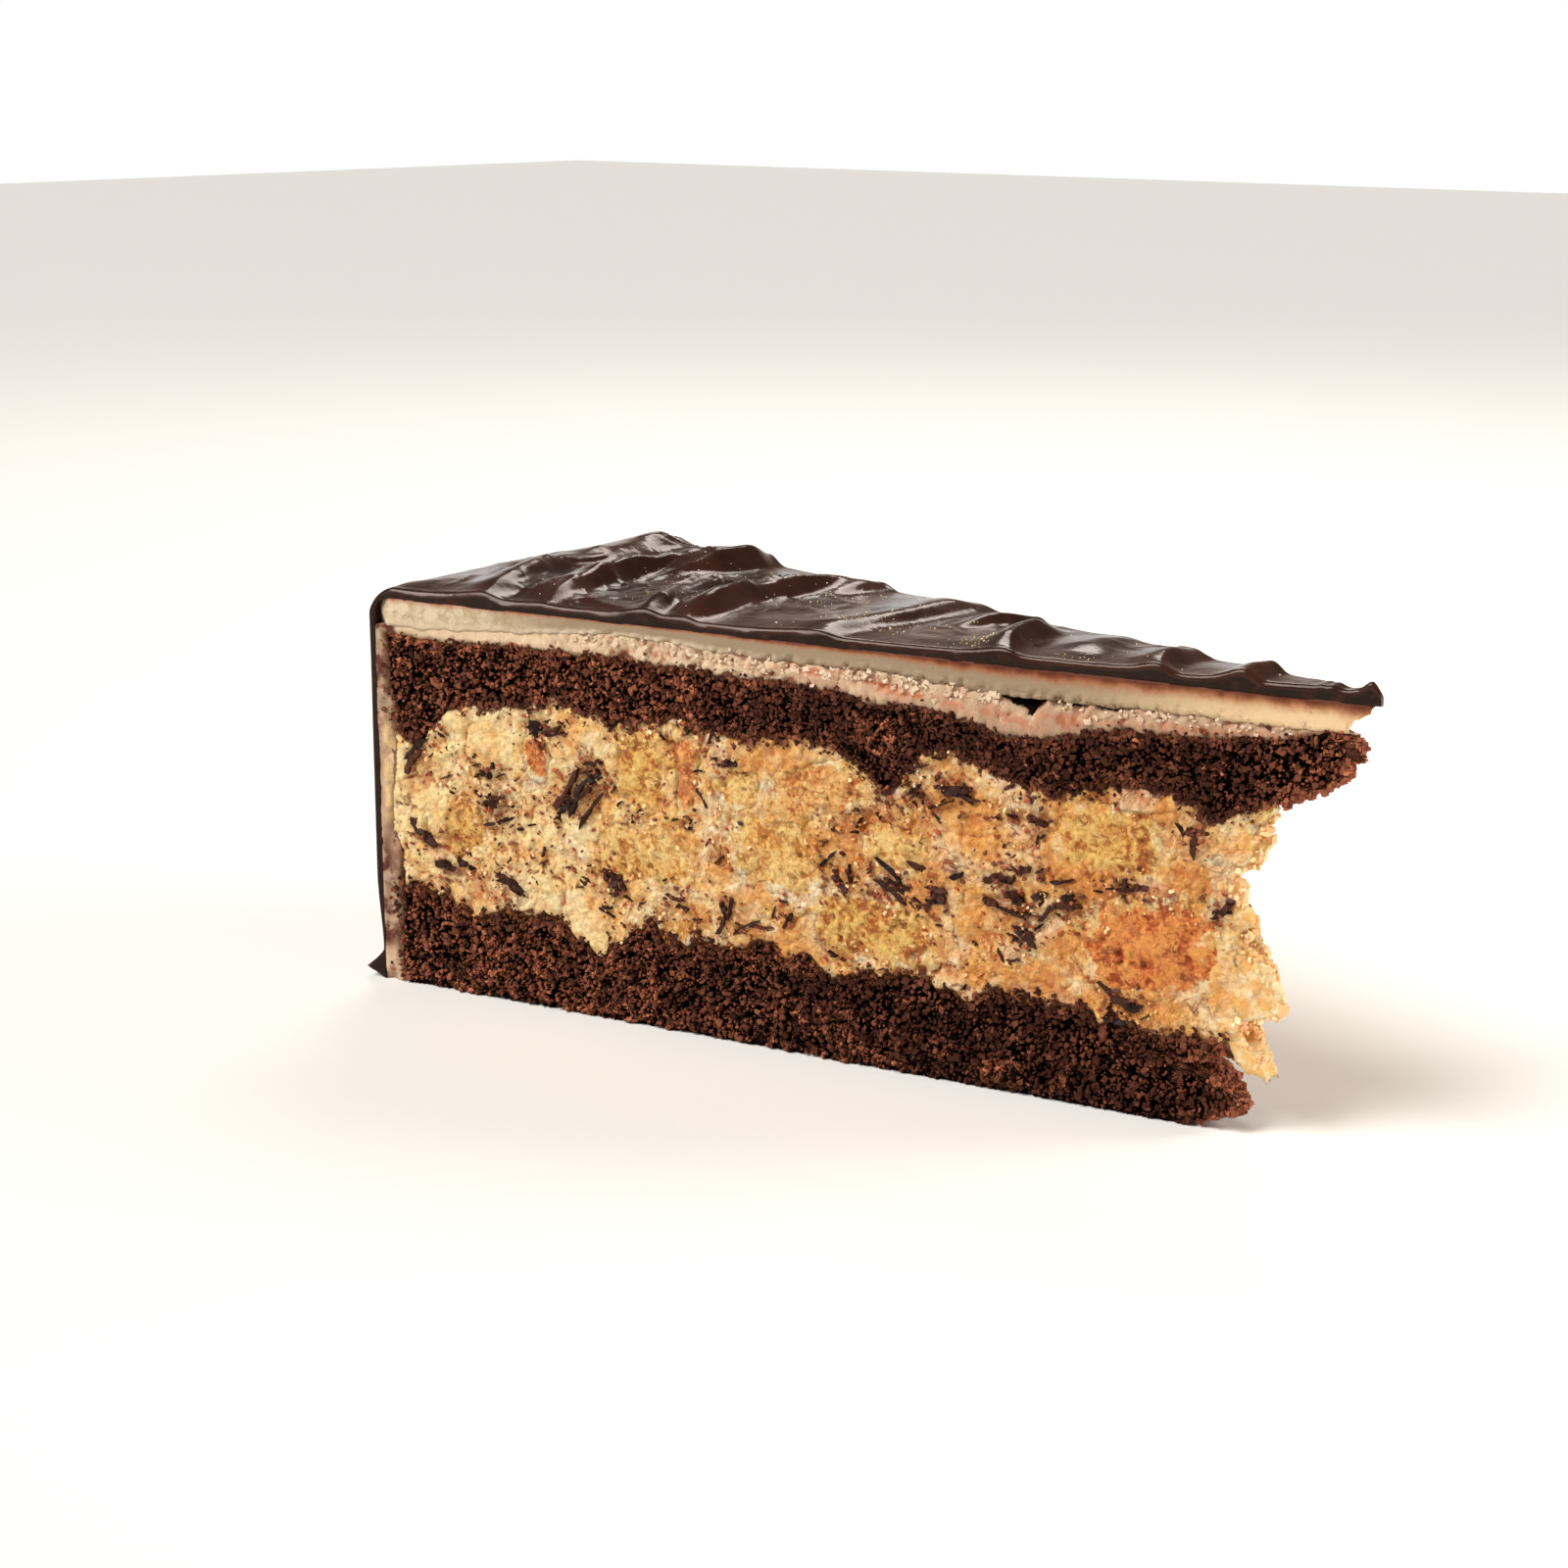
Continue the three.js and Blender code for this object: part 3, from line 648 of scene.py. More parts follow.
class Paint(Nodes):
    """A material's nodes, whose patterns lie in the slice and have their sizes in millimetres."""

    def __init__(self, name: str) -> None:
        """Starts a material with its shader and the space that its patterns lie in."""
        self.material = bpy.data.materials.new(name)
        self.material.use_nodes = True
        super().__init__(self.material.node_tree)
        self.shader = self.tree.nodes["Principled BSDF"]
        self.space = self.lay("ShaderNodeTexCoord", "Object", {})

    def pattern(self, kind: str, output: str, size: float, place: Optional[Socket] = None,
                **others: float) -> Socket:
        """A texture with swells or cells of a size, read at each place or at a place of its own."""
        feeds = {"Vector": self.space if place is None else place, "Scale": 1 / (size * MM), **others}
        return self.lay(kind, output, feeds)

    def warped(self, size: float, amount: float) -> Socket:
        """Places moved by up to an amount by noise with swells of a size, so that cells look torn."""
        feeds = {0: self.pattern("ShaderNodeTexNoise", "Color", size), 1: (amount * MM,) * 3, 2: self.space}
        return self.lay("ShaderNodeVectorMath", 0, feeds, operation="MULTIPLY_ADD")

    def stretched(self, shares: Triple) -> Socket:
        """Places drawn out along each axis: a share under 1 makes a pattern longer that way."""
        return self.lay("ShaderNodeVectorMath", 0, {0: self.space, 1: shares}, operation="MULTIPLY")

    def noise(self, size: float, detail: float = 3.0, rough: float = 0.55, warp: float = 0.0,
              place: Optional[Socket] = None) -> Socket:
        """Soft noise from 0 to 1 with swells of a size, finer ones over them, and a warp that twists them."""
        finer = {"Detail": detail, "Roughness": rough, "Distortion": warp}
        return self.pattern("ShaderNodeTexNoise", "Fac", size, place, **finer)

    def cells(self, size: float, place: Optional[Socket] = None) -> Socket:
        """Distance to scattered points, one to a cell of a size."""
        return self.pattern("ShaderNodeTexVoronoi", "Distance", size, place)

    def kept(self, name: str) -> Socket:
        """A number that the mesh keeps for each corner."""
        return self.lay("ShaderNodeAttribute", "Fac", {}, attribute_name=name)

    def bump(self, height: object, depth: float, strength: float = 1.0,
             under: Optional[Socket] = None) -> Socket:
        """The slope of a surface whose height from 0 to 1 stands for a depth, added to the slope under it."""
        feeds = {"Height": height, "Distance": depth * MM, "Strength": strength}
        return self.lay("ShaderNodeBump", "Normal", feeds if under is None else {**feeds, "Normal": under})

    def finish(self, colour: object, slope: Optional[Socket], roughness: object, specular: float,
               **others: object) -> bpy.types.Material:
        """Sets the shader.

        Args:
            colour: The surface's colour.
            slope: Its slope, or None where it is plain.
            roughness: Its roughness.
            specular: How strongly it mirrors light.
            **others: Other sockets by name, with underscores for blanks.

        Returns:
            The material.
        """
        sockets = {"Base_Color": colour, "Roughness": roughness, "Specular_IOR_Level": specular, **others}
        if slope is not None:
            sockets["Normal"] = slope
        for name, value in sockets.items():
            self.feed(self.shader.inputs[name.replace("_", " ")], value)
        return self.material

    def food(self, colour: Socket, slope: Socket, roughness: float, specular: float, glow: object,
             depths: Triple, reach: float) -> bpy.types.Material:
        """Sets the shader of food that light goes into, to its own depth in millimetres for each colour."""
        inward = {"Subsurface_Weight": glow, "Subsurface_Radius": tuple(depth * MM for depth in depths)}
        return self.finish(colour, slope, roughness, specular, Subsurface_Scale=reach, **inward)


@dataclass(frozen=True)
class IcingFinish:
    """Satin dark chocolate, duller and darker where the knife cut it."""

    body: Colour = tint(42, 24, 18)
    thin: Colour = tint(58, 34, 26)
    cut: Colour = tint(24, 10, 6)
    smear: Colour = tint(58, 26, 14)
    sheen: Colour = tint(255, 234, 216)
    drag: Triple = (0.3, 1.0, 1.0)

    def material(self) -> bpy.types.Material:
        """Lays the material's nodes.

        Returns:
            The icing's material.
        """
        paint = Paint("dark_chocolate_icing")
        cut = paint.kept("cut")
        top = paint.blend(paint.span(paint.noise(9, 3), 0.4, 0.65), self.body, self.thin)
        smeared = paint.blend(paint.span(paint.noise(1.6, 3), 0.52, 0.70, 0.0, 0.7), self.cut, self.smear)
        colour = paint.blend(cut, top, smeared)
        fine = paint.bump(paint.noise(0.6, 2), 0.01, 0.5)
        drawn = paint.bump(paint.noise(2.4, 3, 0.5, 0.6, paint.stretched(self.drag)), 0.14, 0.6, fine)
        soft = paint.bump(paint.noise(3.0, 3), 0.12, 0.7, drawn)
        gloss = paint.span(paint.noise(5, 4, 0.6), 0.35, 0.7, 0.13, 0.26)
        roughness = paint.sum("MAXIMUM", gloss, paint.span(cut, 0, 1, 0, 0.62))
        return paint.finish(colour, soft, roughness, 0.25, Specular_Tint=self.sheen)


@dataclass(frozen=True)
class MarzipanFinish:
    """Pale almond paste, stained by the icing above, with painted shade and a painted glow at the torn point.
    """

    body: Colour = tint(184, 160, 126)
    warm: Colour = tint(212, 192, 162)
    faded: Colour = tint(153, 132, 105)
    stain: Colour = tint(158, 80, 36)
    soaked: Colour = tint(84, 34, 13)
    grain: Colour = tint(206, 184, 154)
    seam: Colour = tint(96, 54, 30)
    lit: Colour = tint(238, 204, 156)

    def material(self) -> bpy.types.Material:
        """Lays the material's nodes.

        Returns:
            The marzipan's material.
        """
        paint = Paint("marzipan_paste")
        colour = paint.blend(paint.span(paint.noise(1.6, 6, 0.72, 0.6), 0.40, 0.60), self.body, self.warm)
        # Painted shade: darker away from the rim, where the light falls off across the cut.
        colour = paint.blend(paint.kept("faded"), colour, self.faded)
        colour = paint.blend(paint.times(paint.kept("grainy"), 0.7), colour, self.grain)
        # Painted light: brighter towards the torn point, where light shines through.
        colour = paint.blend(paint.times(paint.kept("tip"), 0.8), colour, self.lit)
        # Painted shade in the gap along the marzipan's lower edge, broken up by cells.
        holes = paint.span(paint.cells(0.85, paint.warped(0.6, 0.5)), 0.42, 0.22, 0.15, 0.95)
        colour = paint.blend(paint.times(paint.kept("seam"), holes), colour, self.seam)
        specks = paint.span(paint.noise(0.6, 3, 0.6), 0.66, 0.72, 0.0, 0.5)
        colour = paint.blend(specks, colour, self.stain)
        uneven = paint.plus(paint.kept("stain"), paint.span(paint.noise(2.6, 4), 0.3, 0.7, -0.12, 0.12))
        colour = paint.blend(paint.span(uneven, 0.08, 0.75, 0.0, 0.85), colour, self.stain)
        colour = paint.blend(paint.span(uneven, 0.42, 0.95, 0.0, 0.95), colour, self.soaked)
        slope = paint.bump(paint.noise(0.5, 4, 0.7), 0.14, 0.9)
        return paint.food(colour, slope, 0.55, 0.2, glow=0.2, depths=(3, 2, 1.2), reach=0.5)


@dataclass(frozen=True)
class CreamFinish:
    """Rough cream, tinged pink and streaked with orange, stained brown down the rim and by the crumb, with
    painted shade in its hollows.
    """

    body: Colour = tint(222, 194, 160)
    pink: Colour = tint(214, 172, 140)
    deep: Colour = tint(158, 126, 100)
    streak: Colour = tint(190, 100, 62)
    shade: Colour = tint(96, 48, 32)
    crack: Colour = tint(26, 10, 5)
    spilled: Colour = tint(246, 208, 152)

    def material(self) -> bpy.types.Material:
        """Lays the material's nodes.

        Returns:
            The cream's material.
        """
        paint = Paint("pink_cream")
        pinkish = paint.plus(paint.noise(2.4, 4), paint.span(paint.kept("deep"), 0, 0.4, -0.14, 0.02))
        colour = paint.blend(paint.span(pinkish, 0.38, 0.62), self.body, self.pink)
        deep = paint.times(paint.kept("deep"), paint.span(paint.noise(4.0, 4), 0.3, 0.7, 0.5, 1.0))
        colour = paint.blend(deep, colour, self.deep)
        wisps = paint.span(paint.noise(1.8, 5, 0.65, 0.8), 0.40, 0.58)
        streaks = paint.times(wisps, paint.kept("streak"))
        colour = paint.blend(streaks, colour, self.streak)
        # Painted shade: more orange in the low places of the relief.
        low = paint.span(paint.kept("relief"), -0.5, -0.12, 0.6, 0.0)
        colour = paint.blend(low, colour, self.streak)
        dirt = paint.plus(paint.kept("border"), paint.noise(0.8, 5, 0.7))
        colour = paint.blend(paint.span(dirt, 1.22, 1.38, 0.0, 0.9), colour, self.shade)
        patches = paint.span(paint.noise(2.4, 5, 0.62), 0.42, 0.58, 0.3, 1.0)
        stained = paint.times(paint.kept("rim"), patches)
        colour = paint.blend(stained, colour, self.shade)
        smears = paint.span(paint.noise(1.8, 5, 0.62), 0.36, 0.52, 0.25, 1.0)
        spill = paint.times(paint.kept("spilled"), smears)
        colour = paint.blend(spill, colour, self.spilled)
        # Painted shade: the hollow under the marzipan is painted near black, with a frayed edge.
        empty = paint.plus(paint.kept("hollow"), paint.noise(0.7, 4, 0.6))
        colour = paint.blend(paint.span(empty, 0.90, 1.04), colour, self.crack)
        slope = paint.bump(paint.noise(0.3, 4, 0.7), 0.16, 0.9)
        return paint.food(colour, slope, 0.7, 0.2, glow=0.15, depths=(3, 1.8, 1), reach=0.5)


@dataclass(frozen=True)
class SpongeFinish:
    """Dark cocoa crumb: painted shade near black in its gaps, painted highlight redder on its grains, smeared
    where it meets cream.
    """

    gap: Colour = tint(10, 3, 1)
    body: Colour = tint(102, 49, 31)
    grain: Colour = tint(208, 128, 92)
    smear: Colour = tint(176, 108, 62)
    lit: Colour = tint(156, 94, 70)

    def material(self) -> bpy.types.Material:
        """Lays the material's nodes.

        Returns:
            The sponge's material.
        """
        paint = Paint("cocoa_sponge")
        torn = paint.warped(0.45, 0.4)
        fine = paint.span(paint.cells(0.36, torn), 0.1, 0.65, 0.24, -0.34)
        height = paint.plus(paint.kept("relief"), fine)
        height = paint.plus(height, paint.span(paint.noise(0.9, 5, 0.7), 0.3, 0.7, -0.3, 0.3))
        height = paint.plus(height, paint.times(paint.kept("lit"), 0.35))
        # The ramp paints shade and highlight by height: near black in the low gaps, lighter and redder on
        # raised grains.
        stops = [(0.0, self.gap), (0.43, self.gap), (0.60, self.body), (1.0, self.grain)]
        colour = paint.ramp(paint.span(height, -0.9, 0.6), stops)
        colour = paint.blend(paint.times(paint.kept("lit"), 0.24), colour, self.lit)
        # Painted shade: pools of near black, more towards the point, where the light falls off.
        pools = paint.plus(paint.noise(2.6, 4, 0.6), paint.span(paint.kept("moist"), 0, 1, -0.15, 0.13))
        colour = paint.blend(paint.span(pools, 0.48, 0.65, 0.0, 0.7), colour, self.gap)
        smeared = paint.plus(paint.kept("border"), paint.noise(0.7, 5, 0.7))
        colour = paint.blend(paint.span(smeared, 1.12, 1.34, 0.0, 0.8), colour, self.smear)
        slope = paint.bump(paint.noise(0.22, 2), 0.12, 1.0)
        slope = paint.bump(paint.cells(0.36, torn), 0.3, 1.0, slope)
        return paint.finish(colour, slope, 0.9, 0.08)


@dataclass(frozen=True)
class FillingTints:
    """The colours of the orange cream, which also smears over the chunks' borders."""

    white: Colour = tint(255, 238, 196)
    pale: Colour = tint(255, 222, 158)
    body: Colour = tint(250, 198, 112)
    gold: Colour = tint(238, 168, 76)
    orange: Colour = tint(206, 106, 44)
    pit_shade: Colour = tint(158, 82, 34)
    fleck: Colour = tint(104, 46, 24)

    def grit(self, paint: Paint) -> Socket:
        """The height of the fine lumps, which the slope follows too."""
        return paint.noise(0.8, 5, 0.72, 0.5)

    def grains(self, paint: Paint) -> Socket:
        """How far each place lies from the middle of its grain of crumb."""
        return paint.cells(0.7, paint.warped(0.6, 0.5))

    def lit_and_shaded_grit(self, paint: Paint, colour: Socket) -> Socket:
        """A colour with painted shade, deeper, in the pits between fine lumps and painted highlight, paler,
        on the lumps.

        Args:
            paint: The material's nodes.
            colour: The plain colour.

        Returns:
            The colour.
        """
        grit = self.grit(paint)
        colour = paint.blend(paint.span(grit, 0.48, 0.37, 0.0, 0.42), colour, self.orange)
        colour = paint.blend(paint.span(grit, 0.40, 0.32, 0.0, 0.75), colour, self.pit_shade)
        colour = paint.blend(paint.span(self.grains(paint), 0.42, 0.80, 0.0, 0.36), colour, self.orange)
        return paint.blend(paint.span(grit, 0.53, 0.64, 0.0, 0.4), colour, self.white)

    def colour(self, paint: Paint) -> Socket:
        """Golden cream with pale smears and orange stains, flecked with brown, with painted shade and
        highlight on its lumps.

        Args:
            paint: The material's nodes.

        Returns:
            The colour.
        """
        ragged = paint.span(paint.noise(0.7, 3), 0.3, 0.7, -0.03, 0.03)
        marbling = paint.plus(paint.noise(5.0, 6, 0.56, 0.8), ragged)
        stops = [(0.38, self.gold), (0.48, self.body), (0.56, self.pale), (0.66, self.white)]
        colour = paint.ramp(marbling, stops)
        stain = paint.span(paint.noise(4.5, 7, 0.66, 0.4), 0.54, 0.68, 0.0, 0.65)
        colour = paint.blend(stain, colour, self.orange)
        colour = self.lit_and_shaded_grit(paint, colour)
        flecks = paint.span(paint.noise(0.6, 3, 0.6), 0.67, 0.72, 0.0, 0.9)
        gathered = paint.span(paint.noise(3.4, 4), 0.50, 0.62)
        return paint.blend(paint.times(flecks, gathered), colour, self.fleck)


@dataclass(frozen=True)
class FillingFinish:
    """Whipped orange cream, cracked in places, with painted shade, smeared with crumb at its borders, painted
    glowing at its torn end.
    """

    tints: FillingTints = FillingTints()
    deep: Colour = tint(212, 128, 52)
    glow: Colour = tint(255, 232, 184)
    hollow: Colour = tint(250, 188, 106)
    rust: Colour = tint(158, 78, 42)

    def material(self) -> bpy.types.Material:
        """Lays the material's nodes.

        Returns:
            The filling's material.
        """
        paint = Paint("orange_cream")
        colour = self.tints.colour(paint)
        patches = paint.noise(3.0, 6, 0.7)
        deep = paint.times(paint.kept("deep"), paint.span(patches, 0.36, 0.62, 0.2, 1.0))
        colour = paint.blend(deep, colour, self.deep)
        fair = paint.times(paint.kept("fair"), paint.span(patches, 0.40, 0.60, 0.15, 1.0))
        colour = paint.blend(fair, colour, self.tints.pale)
        # Thin dark lines painted as the shade inside cracks.
        line = paint.span(paint.off_middle(paint.noise(5.5, 4, 0.5, 0.4)), 0.002, 0.012, 0.7, 0.0)
        cracks = paint.times(line, paint.span(paint.noise(5, 2), 0.53, 0.6))
        colour = paint.blend(cracks, colour, self.tints.fleck)
        # Painted shade: deeper orange in the low places of the relief.
        low = paint.span(paint.kept("relief"), -0.6, -0.16, 0.8, 0.0)
        colour = paint.blend(low, colour, self.tints.orange)
        blots = paint.span(paint.noise(1.5, 6, 0.72, 0.6), 0.47, 0.57, 0.0, 0.9)
        seeped = paint.times(paint.kept("seeped"), blots)
        colour = paint.blend(seeped, colour, self.rust)
        # Painted light: the torn end is painted bright and warm, as if light glowed through it.
        warm = paint.blend(paint.span(paint.noise(2.4, 6, 0.7), 0.46, 0.60), self.hollow, self.glow)
        colour = paint.blend(paint.times(paint.kept("torn"), 0.75), colour, warm)
        crumb = paint.plus(paint.kept("border"), paint.noise(0.75, 5, 0.7))
        colour = paint.blend(paint.span(crumb, 0.96, 1.14, 0.0, 0.92), colour, self.tints.fleck)
        slope = paint.bump(self.tints.grit(paint), 0.6, 1.0)
        slope = paint.bump(self.tints.grains(paint), -0.22, 0.9, slope)
        through = paint.span(paint.kept("torn"), 0, 1, 0.15, 0.4)
        return paint.food(colour, slope, 0.52, 0.5, glow=through, depths=(5, 3.2, 1.6), reach=0.8)


@dataclass(frozen=True)
class ChunkFinish:
    """Golden sponge crumb of one kind with painted shade and highlight, smeared with cream round its edge."""

    name: str
    crumb: Colour
    deep: Colour
    light: Colour
    tints: FillingTints = FillingTints()

    def material(self) -> bpy.types.Material:
        """Lays the material's nodes.

        Returns:
            The chunk's material.
        """
        paint = Paint(self.name)
        torn = paint.warped(0.5, 0.5)
        grains = paint.span(paint.cells(0.6, torn), 0.15, 0.8, 0.10, -0.18)
        height = paint.plus(paint.kept("relief"), grains)
        height = paint.plus(height, paint.span(paint.noise(1.5, 6, 0.72, 0.4), 0.3, 0.7, -0.34, 0.26))
        # The ramp paints shade and highlight by height: deep in low places, light on raised grains.
        stops = [(0.0, self.deep), (0.34, self.deep), (0.58, self.crumb), (0.92, self.light)]
        colour = paint.ramp(paint.span(height, -0.9, 0.3), stops)
        colour = paint.blend(paint.span(paint.noise(3.2, 5, 0.6), 0.46, 0.62, 0.0, 0.6), colour, self.light)
        # Crevices painted deep as shade, and sunk by the bump.
        line = paint.span(paint.off_middle(paint.noise(2.4, 5, 0.66, 0.6)), 0.008, 0.034, 1.0, 0.0)
        crevices = paint.times(line, paint.span(paint.noise(2.8, 3), 0.50, 0.60))
        colour = paint.blend(paint.times(crevices, 0.8), colour, self.deep)
        covered = paint.plus(paint.kept("edge"), paint.span(paint.noise(1.6, 6, 0.7), 0.3, 0.7, -0.4, 0.4))
        colour = paint.blend(paint.span(covered, 0.30, 0.80), colour, self.tints.colour(paint))
        slope = paint.bump(paint.noise(0.6, 5, 0.74, 0.5), 0.6, 1.0)
        slope = paint.bump(paint.cells(0.6, torn), -0.16, 0.8, slope)
        slope = paint.bump(crevices, -0.3, 0.9, slope)
        return paint.food(colour, slope, 0.68, 0.5, glow=0.12, depths=(3, 1.6, 0.8), reach=0.5)


@dataclass(frozen=True)
class GrainFinish:
    """Small bits whose colour runs from dark to light by each bit's own shade."""

    name: str
    dark: Colour
    light: Colour
    roughness: float = 0.6
    shine: float = 0.5

    def material(self) -> bpy.types.Material:
        """Lays the material's nodes.

        Returns:
            The bits' material.
        """
        paint = Paint(self.name)
        colour = paint.blend(paint.kept("shade"), self.dark, self.light)
        slope = paint.bump(paint.noise(0.2, 2), 0.08, 0.9)
        return paint.finish(colour, slope, self.roughness, self.shine)


class ChunkKind(Enum):
    """The kinds of sponge in the filling: each one's slot in the record, its finish's name and colours."""

    STREAK = ("orange_chunk", "orange_streak", (222, 124, 54), (184, 84, 32), (240, 166, 92))
    ORANGE = ("orange_chunk", "orange_crumb", (222, 122, 46), (176, 74, 22), (240, 160, 78))
    CRUST = ("orange_chunk", "crust_crumb", (236, 166, 84), (204, 112, 44), (250, 200, 124))
    GOLD = ("golden_chunk", "golden_crumb", (240, 180, 90), (208, 130, 50), (252, 212, 134))
    YELLOW = ("yellow_chunk", "yellow_crumb", (224, 160, 66), (180, 92, 30), (246, 202, 114))

    def __init__(self, slot: str, name: str, crumb: tuple, deep: tuple, light: tuple) -> None:
        """Keeps the slot and makes the finish from its name and its colours on a screen."""
        self.slot = slot
        self.finish = ChunkFinish(name, tint(*crumb), tint(*deep), tint(*light))


@dataclass(frozen=True)
class Chunk:
    """One chunk of sponge: its cut, its middle (d, z), its size and its turn in degrees."""

    cut: Cut
    at: Pair
    size: Pair
    turn: float
    kind: ChunkKind
    fullness: float = 0.56
    squareness: float = 3.2

    def local(self, d: Array, z: Array) -> tuple[Array, Array]:
        """Places on the cut as offsets along the chunk's own width and height."""
        return turned(d - self.at[0], z - self.at[1], self.turn)

    def reach(self, angle: Array, grain: Grain) -> Array:
        """How far the chunk's uneven outline reaches at each angle round its middle.

        Args:
            angle: Angles from its width, in radians.
            grain: The noise that makes it uneven.

        Returns:
            Distances from its middle.
        """
        across, up = np.cos(angle), np.sin(angle)
        half_wide, half_high = self.size[0] * self.fullness, self.size[1] * self.fullness
        sides = (np.abs(across) / half_wide) ** self.squareness + (np.abs(up) / half_high) ** self.squareness
        ring = np.stack([across * 1.6 + self.at[0], up * 1.6 + self.at[1], angle * 0], axis=-1)
        uneven = 1 + 0.13 * grain.smooth(ring, 1.0) + 0.05 * grain.smooth(ring * 3.0, 1.0)
        return sides ** (-1 / self.squareness) * uneven

    def share(self, d: Array, z: Array, grain: Grain) -> Array:
        """How far out each place lies: 0 at the chunk's middle and 1 on its outline."""
        x, up = self.local(d, z)
        return np.hypot(x, up) / self.reach(np.arctan2(up, x), grain)


CHUNKS = (
    *(Chunk(Cut.FRONT, *row) for row in (
        ((26.2, 19.4), (15.5, 9.6), 14, ChunkKind.ORANGE),
        ((60.4, 16.9), (15.5, 7.2), -4, ChunkKind.YELLOW),
        ((90.4, 21.6), (13.6, 6.6), 3, ChunkKind.GOLD),
        ((91.4, 32.0), (6.0, 8.6), 5, ChunkKind.YELLOW),
        ((84.9, 32.2), (2.6, 8.0), -4, ChunkKind.STREAK),
        ((72.6, 23.6), (10.4, 8.0), -6, ChunkKind.GOLD),
        ((67.4, 32.6), (12.0, 5.6), 16, ChunkKind.CRUST),
        ((57.4, 26.6), (7.6, 4.8), -10, ChunkKind.GOLD),
        ((30.2, 31.4), (12.2, 7.0), 4, ChunkKind.YELLOW),
        ((117.4, 21.4), (5.4, 5.6), 12, ChunkKind.YELLOW),
        ((106.2, 32.0), (3.4, 5.6), -3, ChunkKind.STREAK),
        ((78.4, 31.0), (6.0, 4.2), 20, ChunkKind.GOLD),
    )),
    *(Chunk(Cut.BACK, *row) for row in (
        ((110.5, 22.6), (12.4, 8.0), 10, ChunkKind.GOLD),
        ((97.0, 28.6), (7.4, 6.0), -15, ChunkKind.YELLOW),
        ((86.0, 18.4), (10.6, 6.4), 6, ChunkKind.ORANGE),
        ((72.0, 31.0), (11.0, 6.4), -8, ChunkKind.GOLD),
        ((62.0, 21.0), (8.4, 7.6), 20, ChunkKind.YELLOW),
        ((45.5, 28.2), (12.0, 7.0), -12, ChunkKind.CRUST),
        ((34.0, 18.2), (9.0, 6.4), 8, ChunkKind.GOLD),
    )),
)


def placed(name: str, data: object) -> bpy.types.Object:
    """Puts a mesh, a light or a camera in the scene.

    Args:
        name: The object's name.
        data: What it shows.

    Returns:
        The object.
    """
    thing = bpy.data.objects.new(name, data)
    bpy.context.scene.collection.objects.link(thing)
    return thing


def dress(mesh: Mesh, name: str, finish: object, nodes: Sequence[str] = ()) -> None:
    """Makes a mesh a piece of the slice.

    Args:
        mesh: The piece's mesh, in place.
        name: The piece's name.
        finish: What gives its material.
        nodes: The solids that it stands for.
    """
    mesh.name = name
    mesh.materials.clear()
    mesh.materials.append(finish.material())
    piece = placed(name, mesh)
    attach(piece, BODY)
    if nodes:
        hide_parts(*nodes)
    LOG.info("%s: %d corners", name, len(mesh.vertices))


@dataclass
class Skin:
    """The surface of a layer or a coat in place, with each corner's d, turn and level in it, from 0 to 1."""

    mesh: Mesh
    d: Array
    turn: Array
    level: Array
    points: Array = field(init=False)

    def __post_init__(self) -> None:
        """Turns the faces outwards and reads the corners before any relief."""
        face_outwards(self.mesh)
        self.points = corners(self.mesh)

    @property
    def z(self) -> Array:
        """Each corner's height."""
        return self.points[:, 2]

    def keep(self, **values: Array) -> None:
        """Keeps numbers for each corner, each under the name that the material reads."""
        for name, numbers in values.items():
            stamp(self.mesh, name, numbers)


